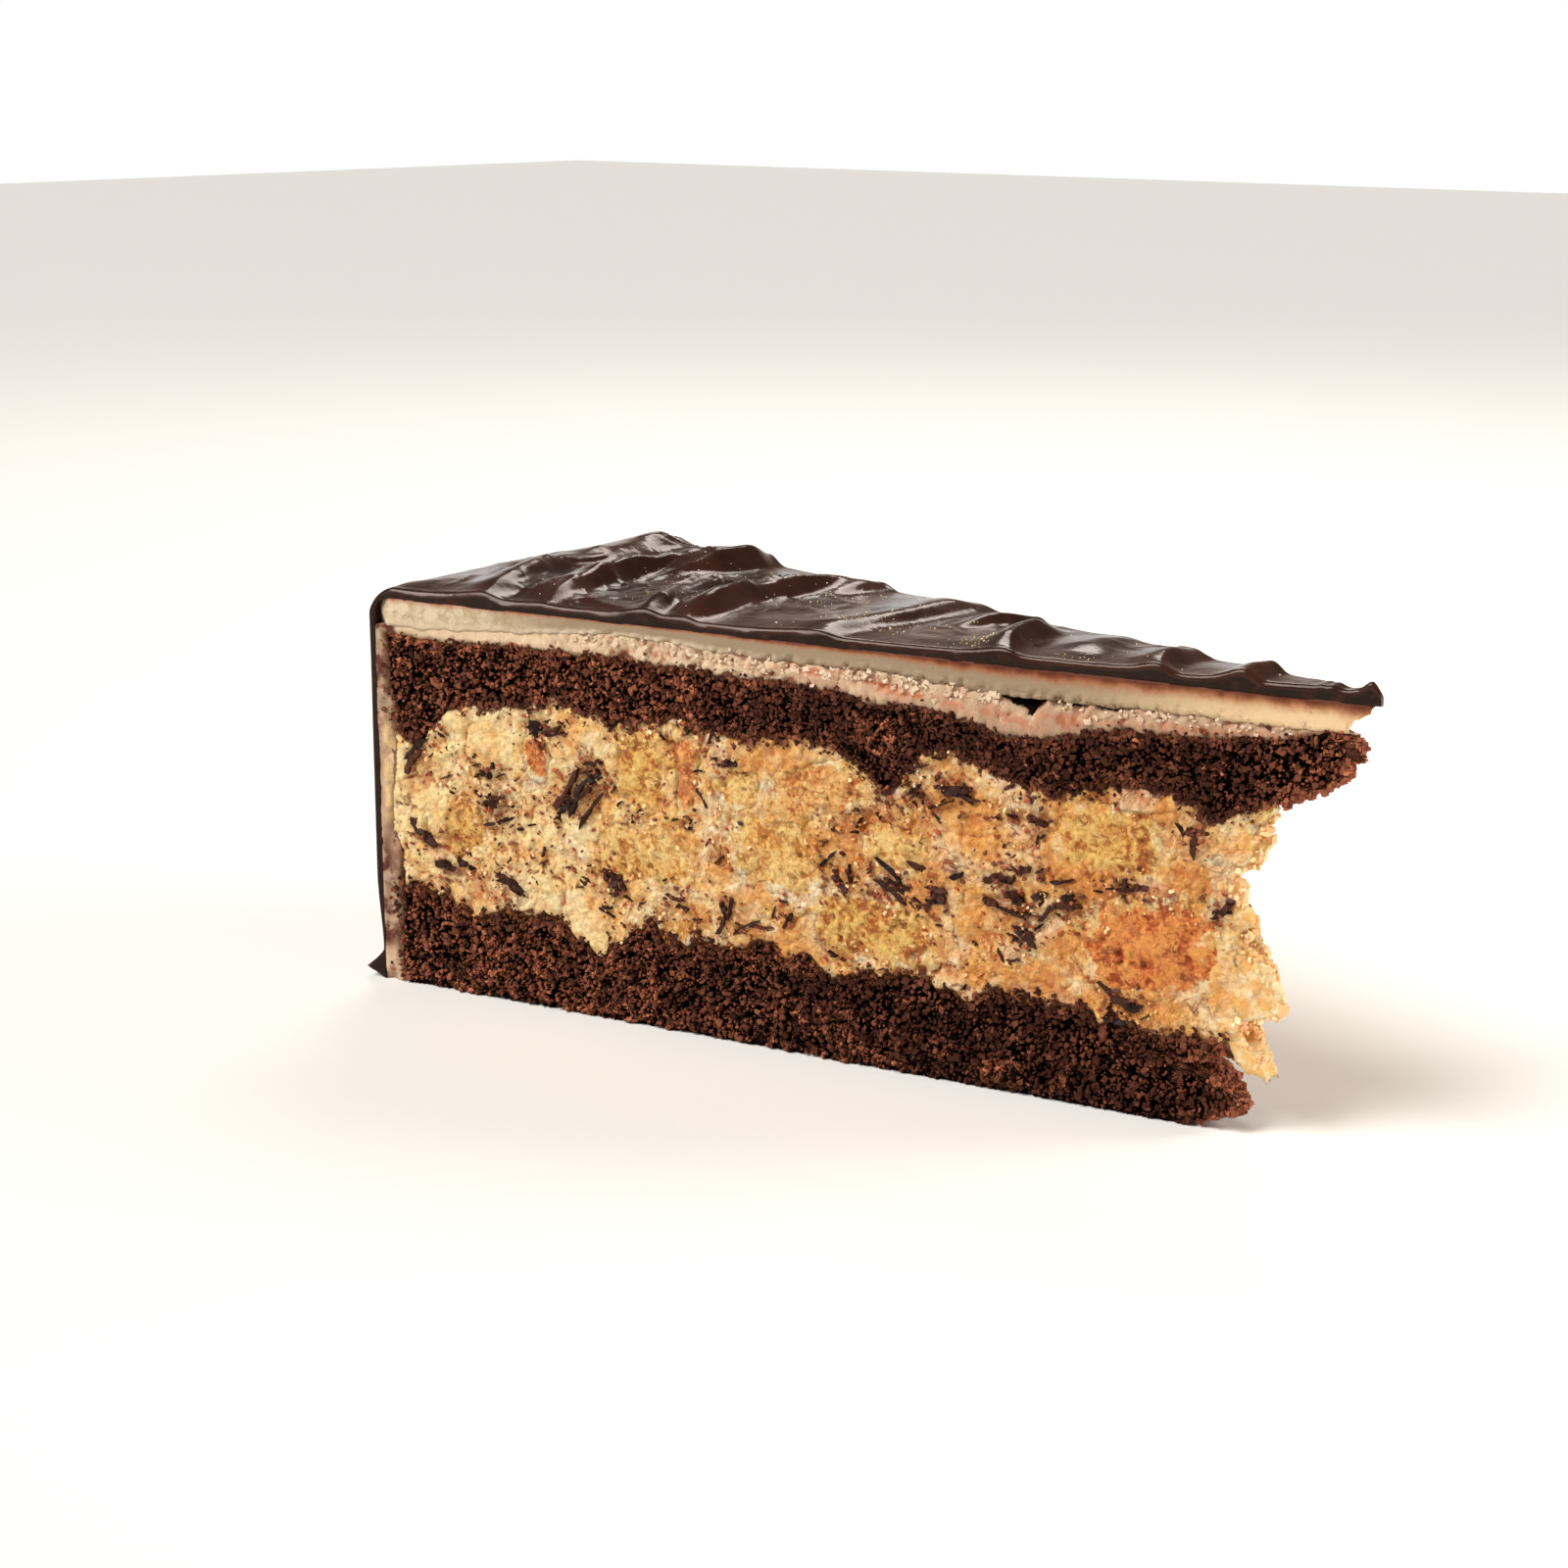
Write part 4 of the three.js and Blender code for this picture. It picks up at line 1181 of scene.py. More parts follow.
@dataclass
class CoreLayer:
    """A layer that runs through the slice from the cream at the rim to the torn point.

    Its torn point is given as levels with the end's distance from the cake's centre. Under and over are how
    far it runs into the layers below and above.
    """

    form: SliceForm
    name: str
    node: str
    slot: str
    finish: object
    floor: Height
    roof: Height
    point: Sequence[Pair]
    squares: tuple[int, int, int]
    rim: float
    seed: int
    torn: float = 0.9
    under: float = 0.0
    over: float = 0.0
    sink: float = 1.3
    sink_slope: float = 0.022
    straight: float = 0.78
    grain: Grain = field(init=False)

    def __post_init__(self) -> None:
        """Draws the layer's noise."""
        self.grain = Grain(self.seed)

    def end(self, level: Array, turn: Array) -> Array:
        """The end at the torn point, which was torn askew: more off the back than off the front.

        Args:
            level: Levels in the layer, from 0 to 1.
            turn: Turns between the cuts.

        Returns:
            The end's distance from the cake's centre at each place.
        """
        places, ends = zip(*self.point)
        rough = np.stack([turn * 2.6, level * 30, level * 0 + 7], axis=-1)
        tear = self.torn * (self.grain.smooth(rough, 2.4) + 0.6 * self.grain.smooth(rough, 0.9))
        askew = 1.175 + 0.171 * turn + 0.169 * turn**2
        return np.interp(level, places, ends) * askew + tear

    def skin(self) -> Skin:
        """The layer before its relief.

        Returns:
            Its surface.
        """
        mesh = divided_block(*self.squares)
        along, across, level = shares(mesh)
        turn = across * 2 - 1
        far = self.rim + (self.form.point_zone - self.rim) * np.minimum(along / self.straight, 1)
        share = np.clip((along - self.straight) / (1 - self.straight), 0, 1)
        d = np.where(along > self.straight, mixed(far, self.end(level, turn), share), far)
        under = self.under * eased(d, 13, 19)
        z = mixed(self.floor(d, turn) - under, self.roof(d, turn) + self.over, level)
        write_corners(mesh, self.form.place(d, turn, z))
        return Skin(mesh, d, turn, level)

    def depth(self, skin: Skin) -> Array:
        """How far the corners lie from the layer's borders with those that it runs into.

        Args:
            skin: The layer's surface.

        Returns:
            How far inside them each corner lies, in millimetres.
        """
        inside = self.form.core_radius - skin.d - self.form.rim_wander(skin.d, skin.turn, skin.z)
        if self.under:
            inside = np.minimum(inside, skin.z - self.floor(skin.d, skin.turn))
        if self.over:
            inside = np.minimum(inside, self.roof(skin.d, skin.turn) - skin.z)
        return inside

    def smeared(self, skin: Skin) -> Array:
        """How much of the neighbour is smeared over the layer's borders: less at the torn end."""
        return 0.45 + 0.55 * eased(skin.d, 13, 22)

    def relief(self, skin: Skin) -> Array:
        """Height of the crumb or cream above its plain surface."""
        raise NotImplementedError

    def keep(self, skin: Skin) -> None:
        """Keeps what else the material reads."""

    def build(self) -> None:
        """Builds and dresses the layer."""
        skin = self.skin()
        cut = on_cut(skin.turn)
        relief = self.relief(skin)
        inside = self.depth(skin)
        sink = np.minimum(self.sink, self.sink_slope * skin.d)
        lowered = np.where(cut, sink * eased(inside, 0.8, -0.9), 0)
        undercut = np.where(cut, 0.8 * relief - 0.3, 0)
        relief = np.where(skin.z < BASE, undercut, relief)
        roughen(skin.mesh, relief - lowered, skin.turn, self.form.half_angle)
        skin.keep(relief=relief, border=eased(inside, 1.7, -0.5) * self.smeared(skin))
        self.keep(skin)
        dress(skin.mesh, self.name, self.finish, [self.node])


@dataclass
class SpongeLayer(CoreLayer):
    """Chocolate sponge: angular grains of crumb between open holes."""

    lit_depth: float = 3.6

    def relief(self, skin: Skin) -> Array:
        """Grains that stand at uneven heights, with dark gaps and holes between them.

        Args:
            skin: The layer's surface.

        Returns:
            The crumb's height at each corner.
        """
        grain, points = self.grain, skin.points
        grains = grain.crumb(points, 0.85, uneven=0.50, gap=0.34)
        fine = grain.crumb(points + 40, 0.45, uneven=0.34, gap=0.20)
        hole, _, size = grain.cells(points + 90, 2.3)
        holes = eased(hole, 0.22 + 0.26 * size, 0.08 + 0.1 * size) * (0.5 + 0.7 * size)
        broad = 0.28 * grain.smooth(points, 4.0) + 0.30 * grain.smooth(points, 1.7)
        return 0.08 + grains + fine + broad - holes

    def keep(self, skin: Skin) -> None:
        """Keeps where pools of shade are painted on the crumb, more towards the point, and how much light the
        torn end catches.
        """
        lit = eased(skin.d - self.end(skin.level, skin.turn), self.lit_depth, 0)
        skin.keep(moist=eased(skin.d, 118, 40) * eased(skin.d, 10, 26), lit=lit)


class FillingLayer(CoreLayer):
    """Whipped cream, smeared by the knife, with a hollow for each chunk."""

    def smeared(self, skin: Skin) -> Array:
        """The same, but the strand at the foot of the torn end carries crumb of the sponge under it."""
        strand = 0.85 * eased(skin.level, 0.10, 0.03) * eased(skin.d, 14, 18)
        return np.maximum(super().smeared(skin), strand)

    def relief(self, skin: Skin) -> Array:
        """Smears, small lumps and cracks, with the chunks' hollows and a ragged torn end.

        Args:
            skin: The layer's surface.

        Returns:
            The cream's height at each corner.
        """
        grain, points, d, turn, level = self.grain, skin.points, skin.d, skin.turn, skin.level
        smear = points * np.array([0.45, 0.45, 1.0])
        broad = 0.30 * grain.smooth(points, 4.5) + 0.24 * grain.smooth(smear, 1.3)
        lumps = grain.crumb(points, 1.15, uneven=0.30, gap=0.16)
        fine = 0.14 * grain.smooth(points, 0.55)
        crack = np.abs(grain.smooth(smear + 50, 3.0))
        cracks = -0.5 * eased(crack, 0.05, 0.0) * eased(grain.smooth(points, 6.0), -0.1, 0.3)
        relief = broad + lumps + fine + cracks
        for chunk in CHUNKS:
            near = (turn * chunk.cut.value > EDGE) & (np.abs(d - chunk.at[0]) < chunk.size[0])
            covered = 0.16 * grain.smooth(points[near], 1.6) + 0.08 * grain.smooth(points[near], 0.6)
            outward = chunk.share(d[near], points[near, 2], grain_of(chunk)) + covered
            relief[near] = mixed(relief[near], -0.9, eased(outward, 0.97, 0.80))
        torn = eased(d, 26, 18) * eased(np.abs(turn), 1.0, 0.8) * eased(level, 0.16, 0.3)
        strand = eased(d, 20, 16) * eased(level, 0.30, 0.22)
        return relief * (1 - 0.7 * strand) + torn * 0.8 * grain.smooth(points, 1.7)

    def keep(self, skin: Skin) -> None:
        """Keeps where the cream is torn and painted glowing, deep or fair in colour, or stained by shavings.

        Args:
            skin: The layer's surface.
        """
        d, turn = skin.d, skin.turn
        z = mixed(self.floor(d, turn), self.roof(d, turn), skin.level)
        seeped = np.zeros_like(d)
        for group in FLAKE_GROUPS:
            reach = 1.0 + 0.8 * group.spread
            away = np.hypot(d - group.at[0], z - group.at[1]) / reach
            seeped = np.maximum(seeped, np.exp(-(away**2)) * min(group.count / 4, 1))
        skin.keep(
            torn=eased(d, 21, 14),
            deep=(0.4 * eased(d, 98, 72) + 0.45 * eased(d, 48, 32)) * eased(d, 16, 24),
            fair=0.9 * eased(d, 84, 104),
            seeped=seeped * (turn * Cut.FRONT.value > 0.8),
        )


class MarzipanLayer(CoreLayer):
    """Marzipan: smooth where the knife passed, grainy at its lower edge."""

    def relief(self, skin: Skin) -> Array:
        """Faint drag marks, with grains towards the lower edge.

        Args:
            skin: The layer's surface.

        Returns:
            The marzipan's height at each corner.
        """
        grain, points = self.grain, skin.points
        drawn = points * np.array([0.2, 0.2, 1.0])
        lump, _, _ = grain.cells(points, 0.9)
        grainy = eased(skin.level, 0.42, 0.12) * eased(skin.d, 118, 96) * eased(skin.d, 8, 20)
        grains = 0.30 * (1 - (lump / 0.6) ** 2) * grainy
        return 0.08 * grain.smooth(points, 4) + 0.06 * grain.smooth(drawn, 0.5) + grains

    def keep(self, skin: Skin) -> None:
        """Keeps where the marzipan is stained by the icing, has painted shade, is grainy, or is painted lit.

        Args:
            skin: The layer's surface.
        """
        d, level = skin.d, skin.level
        width = 0.26 + 0.42 * eased(d, 85, 30)
        skin.keep(
            stain=np.clip((level - 1 + width) / width, 0, 1) * (0.7 + 0.3 * eased(d, 110, 50)),
            # painted shade, darker away from the rim
            faded=eased(d, 121, 99),
            grainy=eased(level, 0.45, 0.1) * eased(d, 60, 90),
            # painted shade along the lower edge
            seam=eased(level, 0.22, 0.02) * eased(d, 92, 74) * eased(d, 8, 14),
            # painted light towards the torn point
            tip=eased(d, 40, 8),
        )


@cache
def grain_of(chunk: Chunk) -> Grain:
    """The noise that gives a chunk its outline, the same for the chunk and for its hollow."""
    return Grain(100 + CHUNKS.index(chunk))


@dataclass
class SpongeChunks:
    """The chunks of golden sponge that show in the cuts."""

    form: SliceForm
    step: float = 0.34
    layers: int = 5
    depth: float = 5.0
    least_depth: float = 0.35
    full_depth_from: float = 60.0
    spare: float = 1.1
    proud: float = 0.12

    def build(self) -> None:
        """Builds and dresses each chunk."""
        for cut in Cut:
            for number, chunk in enumerate((chunk for chunk in CHUNKS if chunk.cut is cut), 1):
                self.build_one(chunk, f"chunk_{cut.name.lower()}_{number}")

    def build_one(self, chunk: Chunk, node: str) -> None:
        """Builds one chunk.

        Args:
            chunk: Where it lies and its size.
            node: The solid that it stands for.
        """
        wide, high = (max(8, round(size * self.spare / self.step)) for size in chunk.size)
        mesh = divided_block(wide, self.layers, high)
        along, inward, up = shares(mesh)
        x, z = along * 2 - 1, up * 2 - 1
        ring = np.maximum(np.abs(x), np.abs(z))
        angle = np.arctan2(z * chunk.size[1], x * chunk.size[0])
        grain = grain_of(chunk)
        reach = self.spare * chunk.reach(angle, grain) * ring * (1 - 0.3 * inward)
        bearing = angle - math.radians(chunk.turn)
        d = chunk.at[0] + reach * np.cos(bearing)
        height = chunk.at[1] + reach * np.sin(bearing)
        depth = self.depth * min(1, max(self.least_depth, chunk.at[0] / self.full_depth_from))
        out = self.proud - 0.34 * ring**6 - inward * depth
        write_corners(mesh, self.form.place(d, chunk.cut.turns(len(d)), height, out))
        face_outwards(mesh)
        points = corners(mesh)
        hole, _, size = grain.cells(points + 30, 1.9)
        holes = 0.55 * eased(hole, 0.14 + 0.2 * size, 0.05)
        relief = grain.crumb(points, 0.9, uneven=0.30, gap=0.16) - holes
        relief = relief + 0.16 * grain.smooth(points, 2.0) + 0.07 * grain.smooth(points, 0.7)
        roughen(mesh, relief)
        stamp(mesh, "relief", relief)
        narrow = eased(min(chunk.size), 5.0, 2.5)
        stamp(mesh, "edge", eased(ring + 0.22 * grain.smooth(points, 1.3), 0.54 - 0.2 * narrow, 0.98))
        dress(mesh, f"sponge_{node}", chunk.kind.finish, [node])


@dataclass
class CreamCoat:
    """Cream under the marzipan and down the rim, in one piece."""

    form: SliceForm
    squares: tuple[int, int, int] = (470, 6, 9)
    tip: float = 4.2
    side_share: float = 0.27
    side_height: float = 45.6
    lap: float = 0.8
    side_lap: float = 0.05
    grain: Grain = field(default_factory=lambda: Grain(21))

    def skin(self) -> tuple[Skin, Array]:
        """The coat before its relief: its length runs up the rim and then over the top.

        Returns:
            Its surface, and how far inside its border with the crumb each corner lies.
        """
        form = self.form
        mesh = divided_block(*self.squares)
        path, across, level = shares(mesh)
        turn = across * 2 - 1
        climb = np.clip(path / self.side_share, 0, 1)
        run = np.clip((path - self.side_share) / (1 - self.side_share), 0, 1)
        tear = 0.7 * self.grain.smooth(np.stack([turn * 2, level * 3, level * 0], axis=-1), 1.0)
        d_top = mixed(form.core_radius, self.tip + tear, run)
        sponge = form.sponge_top(d_top, turn)
        core_top = form.sponge_top(np.full_like(turn, form.core_radius), turn)
        inner_z = np.where(run > 0, sponge - self.lap, climb * (core_top - self.lap))
        inner_d = np.where(run > 0, d_top, form.core_radius - self.lap)
        corner = eased(run, 0.012, 0.0)
        outer_d = np.where(run > 0, d_top + corner * form.cream_side, form.cream_radius + self.side_lap)
        outer_z = np.where(run > 0, form.cream_top(d_top, turn), climb * self.side_height)
        d, z = mixed(inner_d, outer_d, level), mixed(inner_z, outer_z, level)
        write_corners(mesh, form.place(d, turn, z))
        inside = np.where(run > 0, z - sponge, d - form.core_radius + form.rim_wander(d, turn, z))
        return Skin(mesh, d, turn, level), inside

    def relief(self, skin: Skin) -> Array:
        """Lumps of cream, lower where the knife smoothed them and away from the cuts.

        Args:
            skin: The coat's surface.

        Returns:
            Their height at each corner.
        """
        d, points = skin.d, skin.points
        lump, _, own = self.grain.cells(points, 0.8)
        lumps = 0.30 * (1 - (lump / 0.6) ** 2) * (0.4 + 0.9 * own)
        lumps = lumps + 0.25 * self.grain.smooth(points, 2.0) - 0.12
        rough = 0.4 + 0.6 * eased(d, 110, 94) + 0.5 * eased(d, 103, 95) * eased(d, 66, 76)
        lumps = lumps * np.where(on_cut(skin.turn), rough, 0.2)
        lumps = lumps * (1 - 0.9 * eased(skin.level, 0.75, 1.0) * eased(d, 92, 108))
        return np.where(skin.z < BASE, 0, lumps)

    def hollow(self, skin: Skin) -> Array:
        """The hollow under the marzipan, which is frayed along its lower edge.

        Args:
            skin: The coat's surface.

        Returns:
            How far each corner lies in it, from 0 to 1.
        """
        floor = self.form.marzipan_floor(skin.d, skin.turn)
        sunk = floor - self.form.cream_top(skin.d, skin.turn)
        frayed = sunk + 0.45 + 0.5 * self.grain.smooth(skin.points, 0.9)
        hollow = eased(sunk, 0.2, 0.55) * eased(floor - skin.z - frayed, 0.3, -0.3)
        return np.maximum(hollow, 0.6 * eased(sunk, 0.1, 0.2) * eased(skin.level, 0.86, 0.98))

    def keep(self, skin: Skin) -> None:
        """Keeps where the cream is deep in colour or streaked, and how the rim is stained and spilled on.

        Args:
            skin: The coat's surface.
        """
        d, level = skin.d, skin.level
        rim = eased(d, 126.2, 127.2) * eased(skin.z, 48, 42)
        line = 0.58 + 0.12 * self.form.ripple(d, skin.turn, 7, 640) + 0.3 * eased(d, 56, 68)
        seam = eased(np.abs(level - line), 0.17, 0.04) * eased(d, 77, 69) * (0.6 + 0.4 * eased(d, 46, 56))
        height = skin.z + 2.5 * self.grain.smooth(skin.points, 5)
        stained = 0.22 + 0.7 * eased(height, 31, 36) + 0.75 * eased(height, 20, 14)
        stained = stained * (0.65 + 0.5 * eased(level, 0.25, 0.85))
        spilled = eased(height, 20, 23) * eased(height, 36, 32) * eased(level, 0.9, 0.5)
        skin.keep(
            deep=eased(d, 88, 30) * (0.6 + 0.4 * eased(level, 0.9, 0.2)) + 0.5 * rim,
            streak=0.05 + 0.95 * seam,
            spilled=0.9 * rim * spilled,
            rim=eased(d, 126.4, 127.4) * eased(height, 49, 45) * stained * eased(height, 3.4, 5.5),
        )

    def build(self) -> None:
        """Builds and dresses the coat."""
        skin, inside = self.skin()
        relief, hollow = self.relief(skin), self.hollow(skin)
        lowered = np.where(on_cut(skin.turn), 1.1 * eased(inside, 0.7, -0.8) + 1.3 * hollow, 0)
        roughen(skin.mesh, relief - lowered, skin.turn, self.form.half_angle)
        # The hollow is also painted near black in the material, as shade.
        skin.keep(relief=relief, border=eased(inside, 1.1, -0.6), hollow=hollow)
        self.keep(skin)
        dress(skin.mesh, "pink_cream_coat", CreamFinish(), ["cream_coat"])


@dataclass
class Icing:
    """Dark chocolate over the top and down the rim, in one piece."""

    form: SliceForm
    squares: tuple[int, int, int] = (440, 96, 5)
    foot_share: float = 0.035
    side_share: float = 0.18
    shoulder_share: float = 0.225
    inner_bend: float = 2.0
    grain: Grain = field(default_factory=lambda: Grain(31))

    def stretches(self, path: Array) -> list[Array]:
        """How much of the foot, the side, the shoulder and the top lies behind each place along the icing."""
        ends = (0, self.foot_share, self.side_share, self.shoulder_share, 1)
        return [np.clip((path - start) / (end - start), 0, 1) for start, end in zip(ends, ends[1:])]

    def skin(self) -> tuple[Skin, Array]:
        """The icing before its relief: its length runs up the side, round the shoulder and over the top.

        Returns:
            Its surface, and whether each corner is on the top.
        """
        form = self.form
        mesh = divided_block(*self.squares)
        path, across, level = shares(mesh)
        even = across * 2 - 1
        turn = 0.4 * even + 0.6 * np.sin(even * math.pi / 2)
        foot, climb, bend, run = self.stretches(path)
        bent, top = bend > 0, run > 0
        flat = form.marzipan_top + form.icing_thickness
        below = flat - form.shoulder
        side_z = foot * form.foot_height + climb * (below - form.foot_height)
        inward, lift = 1 - np.cos(bend * math.pi / 2), np.sin(bend * math.pi / 2)
        roof_d = mixed(form.cake_radius - form.shoulder, form.icing_tip, run)
        outer_d = np.where(bent, form.cake_radius - form.shoulder * inward, form.icing_side_at(side_z, turn))
        outer_d = np.where(top, roof_d, outer_d)
        rise = form.icing_top(outer_d, turn) - flat
        outer_z = np.where(bent, below + form.shoulder * lift + rise * lift, side_z)
        inner_d = form.cream_radius - self.inner_bend * inward
        inner_d = np.where(top, np.minimum(roof_d, form.cream_radius - self.inner_bend), inner_d)
        inner_low = form.marzipan_top - self.inner_bend
        inner_z = np.where(bent, inner_low + self.inner_bend * lift, side_z * inner_low / below)
        d, z = mixed(inner_d, outer_d, level), mixed(inner_z, outer_z, level)
        write_corners(mesh, form.place(d, turn, z))
        return Skin(mesh, d, turn, level), top

    def build(self) -> None:
        """Builds and dresses the icing."""
        skin, top = self.skin()
        grain, points = self.grain, skin.points
        cut = on_cut(skin.turn) & (skin.level < EDGE)
        uneven = 0.10 * grain.smooth(points, 3) + 0.05 * grain.smooth(points, 0.9)
        drawn = 0.10 * grain.smooth(points * np.array([1, 1, 0.5]), 7)
        relief = np.where(cut, uneven, np.where(top, 0, drawn))
        roughen(skin.mesh, np.where(skin.z < BASE, 0, relief))
        skin.keep(cut=cut)
        dress(skin.mesh, "chocolate_icing", IcingFinish(), ["icing"])


class Bit(Enum):
    """The shapes of small bits."""

    PEBBLE = "a rough ball"
    SHARD = "an angular block"
    SLIVER = "a blunt strip"

    def template(self) -> tuple[Array, Array]:
        """The shape round the origin, with its ends about 1 from it.

        Returns:
            Its corners, and the corners of each of its triangles.
        """
        shape = bmesh.new()
        if self is Bit.PEBBLE:
            bmesh.ops.create_icosphere(shape, subdivisions=1, radius=1.0)
        else:
            bmesh.ops.create_cube(shape, size=1.6 if self is Bit.SHARD else 2.0)
        if self is Bit.SLIVER:
            lengthwise = [edge for edge in shape.edges if abs(edge.verts[0].co.x - edge.verts[1].co.x) > 1]
            bmesh.ops.subdivide_edges(shape, edges=lengthwise, cuts=4, use_grid_fill=True)
            for vert in shape.verts:
                vert.co.z *= 1 - 0.3 * abs(vert.co.x) ** 4
        bmesh.ops.triangulate(shape, faces=shape.faces[:])
        bmesh.ops.recalc_face_normals(shape, faces=shape.faces[:])
        shape.verts.ensure_lookup_table()
        points = np.array([vert.co[:] for vert in shape.verts])
        faces = np.array([[vert.index for vert in face.verts] for face in shape.faces])
        shape.free()
        return points, faces


@dataclass
class Scatter:
    """Many small bits of one kind, joined in one piece, with what draws them."""

    form: SliceForm
    name: str
    finish: GrainFinish
    slot: str
    bit: Bit
    draw: np.random.Generator
    parts: list[Array] = field(default_factory=list)
    shades: list[Array] = field(default_factory=list)
    corners: Array = field(init=False)
    faces: Array = field(init=False)

    def __post_init__(self) -> None:
        """Makes the shape that all bits start from."""
        self.corners, self.faces = self.bit.template()

    def uneven(self, count: int) -> Array:
        """Draws from 0 to 1, one for each coordinate of the corners of a number of bits."""
        return self.draw.random((count, *self.corners.shape))

    def put(self, middles: Array, shapes: Array, shades: Array) -> None:
        """Puts bits at their middles, each with its shade from dark to light."""
        self.parts.append(middles[:, None, :] + shapes)
        self.shades.append(shades)

    def lay(self, cut: Cut, at: Array, sizes: Array, turns: Array, lift: float,
            rough: float, dim: object = 0.0, bend: float = 0.0) -> None:
        """Lays bits on a cut face.

        Args:
            cut: The face.
            at: Their middles (d, z), one row each.
            sizes: Half of each one's length along the face, its depth and its height, one row each.
            turns: Their turns in the face, in degrees.
            lift: How far their middles stand out of the face.
            rough: How uneven they are.
            dim: How much darker than drawn each one is, from 0 to 1.
            bend: How far their ends are bent up or down at most, as a share of half their length.
        """
        count = len(at)
        shape = self.corners * (1 + rough * (self.uneven(count) - 0.5))
        bent = self.draw.normal(0, bend, count)[:, None] * (shape[..., 0] ** 2 - 0.3) * sizes[:, :1]
        shape = shape * sizes[:, None, :]
        shape[..., 2] += bent
        along, up = turned(shape[..., 0], shape[..., 2], turns[:, None])
        side, out = cut.turns(along.shape), lift + shape[..., 1]
        self.parts.append(self.form.place(at[:, :1] + along, side, at[:, 1:] + up, out))
        self.shades.append(self.draw.random(count) * (1 - dim))

    def strew_end(self, layer: CoreLayer, count: int, sizes: Triple, depth: Pair) -> None:
        """Lays bits over a layer's torn end.

        Args:
            layer: The layer.
            count: How many.
            sizes: Half of the smallest, the usual and the largest one's length.
            depth: How far inside the end their middles lie, at least and at most.
        """
        draw = self.draw
        turn, level = draw.uniform(-0.98, 0.98, count), draw.uniform(0.03, 0.97, count)
        d = layer.end(level, turn) + draw.uniform(*depth, count)
        z = mixed(layer.floor(d, turn), layer.roof(d, turn), level)
        size = draw.triangular(*sizes, count)[:, None] * draw.uniform(0.5, 1.5, (count, 3))
        shape = self.corners * (1.5 - self.uneven(count)) * size[:, None, :]
        self.put(self.form.place(d, turn, np.maximum(z, 0.4)), shape, draw.uniform(0.3, 1.0, count))

    def build(self) -> None:
        """Joins the bits in one mesh and dresses it."""
        points = np.concatenate(self.parts)
        starts = np.arange(len(points))[:, None, None] * len(self.corners)
        faces = (self.faces[None] + starts).reshape(-1, self.faces.shape[1])
        mesh = bpy.data.meshes.new(self.name)
        mesh.from_pydata((points.reshape(-1, 3) * MM).tolist(), [], faces.tolist())
        face_outwards(mesh, smooth=False)
        stamp(mesh, "shade", np.repeat(np.concatenate(self.shades), len(self.corners)))
        dress(mesh, self.name, self.finish)


@dataclass(frozen=True)
class FlakeGroup:
    """Flakes of chocolate that lie together on the front cut.

    It has the group's middle (d, z), how many flakes it has, how long they are, how they are turned in
    degrees, and how far they spread.
    """

    at: Pair
    count: int
    length: float
    turn: float
    spread: float


FLAKE_GROUPS = tuple(FlakeGroup(*row) for row in (
    ((100.5, 27.5), 6, 5.2, -38, 1.5),
    ((98.0, 30.5), 4, 2.6, -20, 1.2),
    ((103.5, 35.0), 2, 3.0, 0, 0.8),
    ((123.7, 20.3), 2, 5.0, 42, 0.5),
    ((124.3, 31.0), 3, 3.8, -65, 0.9),
    ((120.0, 16.2), 3, 2.8, 10, 1.4),
    ((111.0, 15.4), 3, 4.2, 28, 1.0),
    ((112.5, 26.0), 4, 2.4, 0, 2.2),
    ((106.5, 35.2), 2, 2.0, 20, 0.8),
    ((96.3, 18.2), 3, 2.8, 75, 1.2),
    ((86.5, 16.8), 2, 2.6, -10, 1.0),
    ((79.0, 16.6), 3, 3.4, -80, 0.9),
    ((79.5, 34.2), 3, 2.6, -12, 1.0),
    ((71.5, 15.9), 2, 2.2, -45, 1.0),
    ((64.4, 21.8), 3, 2.4, 55, 1.0),
    ((57.8, 22.0), 5, 4.6, 25, 1.2),
    ((51.8, 22.8), 6, 2.6, -10, 2.0),
    ((49.8, 34.4), 5, 3.6, -2, 0.9),
    ((54.8, 34.2), 2, 2.0, -30, 0.8),
    ((41.0, 18.8), 4, 3.4, 29, 0.7),
    ((43.5, 25.3), 7, 2.6, -12, 2.0),
    ((36.2, 23.2), 4, 2.2, 0, 1.3),
    ((28.7, 26.0), 3, 2.2, -15, 1.0),
    ((21.4, 32.4), 4, 3.2, 80, 1.1),
    ((28.5, 12.9), 4, 3.8, 5, 1.4),
    ((17.8, 25.0), 3, 2.2, -40, 0.4),
    ((39.6, 32.2), 2, 2.2, 10, 0.8),
))


def filling_places(
    form: SliceForm, cut: Cut, count: int, draw: np.random.Generator, clear: float = 1.05
) -> Array:
    """Places (d, z) drawn in the filling on a cut, clear of the chunks and gathered in loose clusters.

    Args:
        form: The slice's form.
        cut: The cut face.
        count: How many.
        draw: What draws them.
        clear: How far out of the chunks they stay, where 1 is a chunk's outline.

    Returns:
        The places, one row each.
    """
    d = draw.uniform(13, 127, count * 8)
    turn = cut.turns(len(d))
    z = mixed(form.filling_floor(d, turn) + 0.4, form.filling_top(d, turn) - 0.4, draw.random(len(d)))
    clusters = form.ripple(d, turn, 9, 700) + 0.8 * form.grain.smooth(np.stack([d, z, z * 0 + 5], axis=-1), 6)
    kept = (clusters > 0) & (d > form.strewn_from)
    for chunk in CHUNKS:
        if chunk.cut is cut:
            kept &= chunk.share(d, z, grain_of(chunk)) > clear
    return np.stack([d, z], axis=1)[kept][:count]


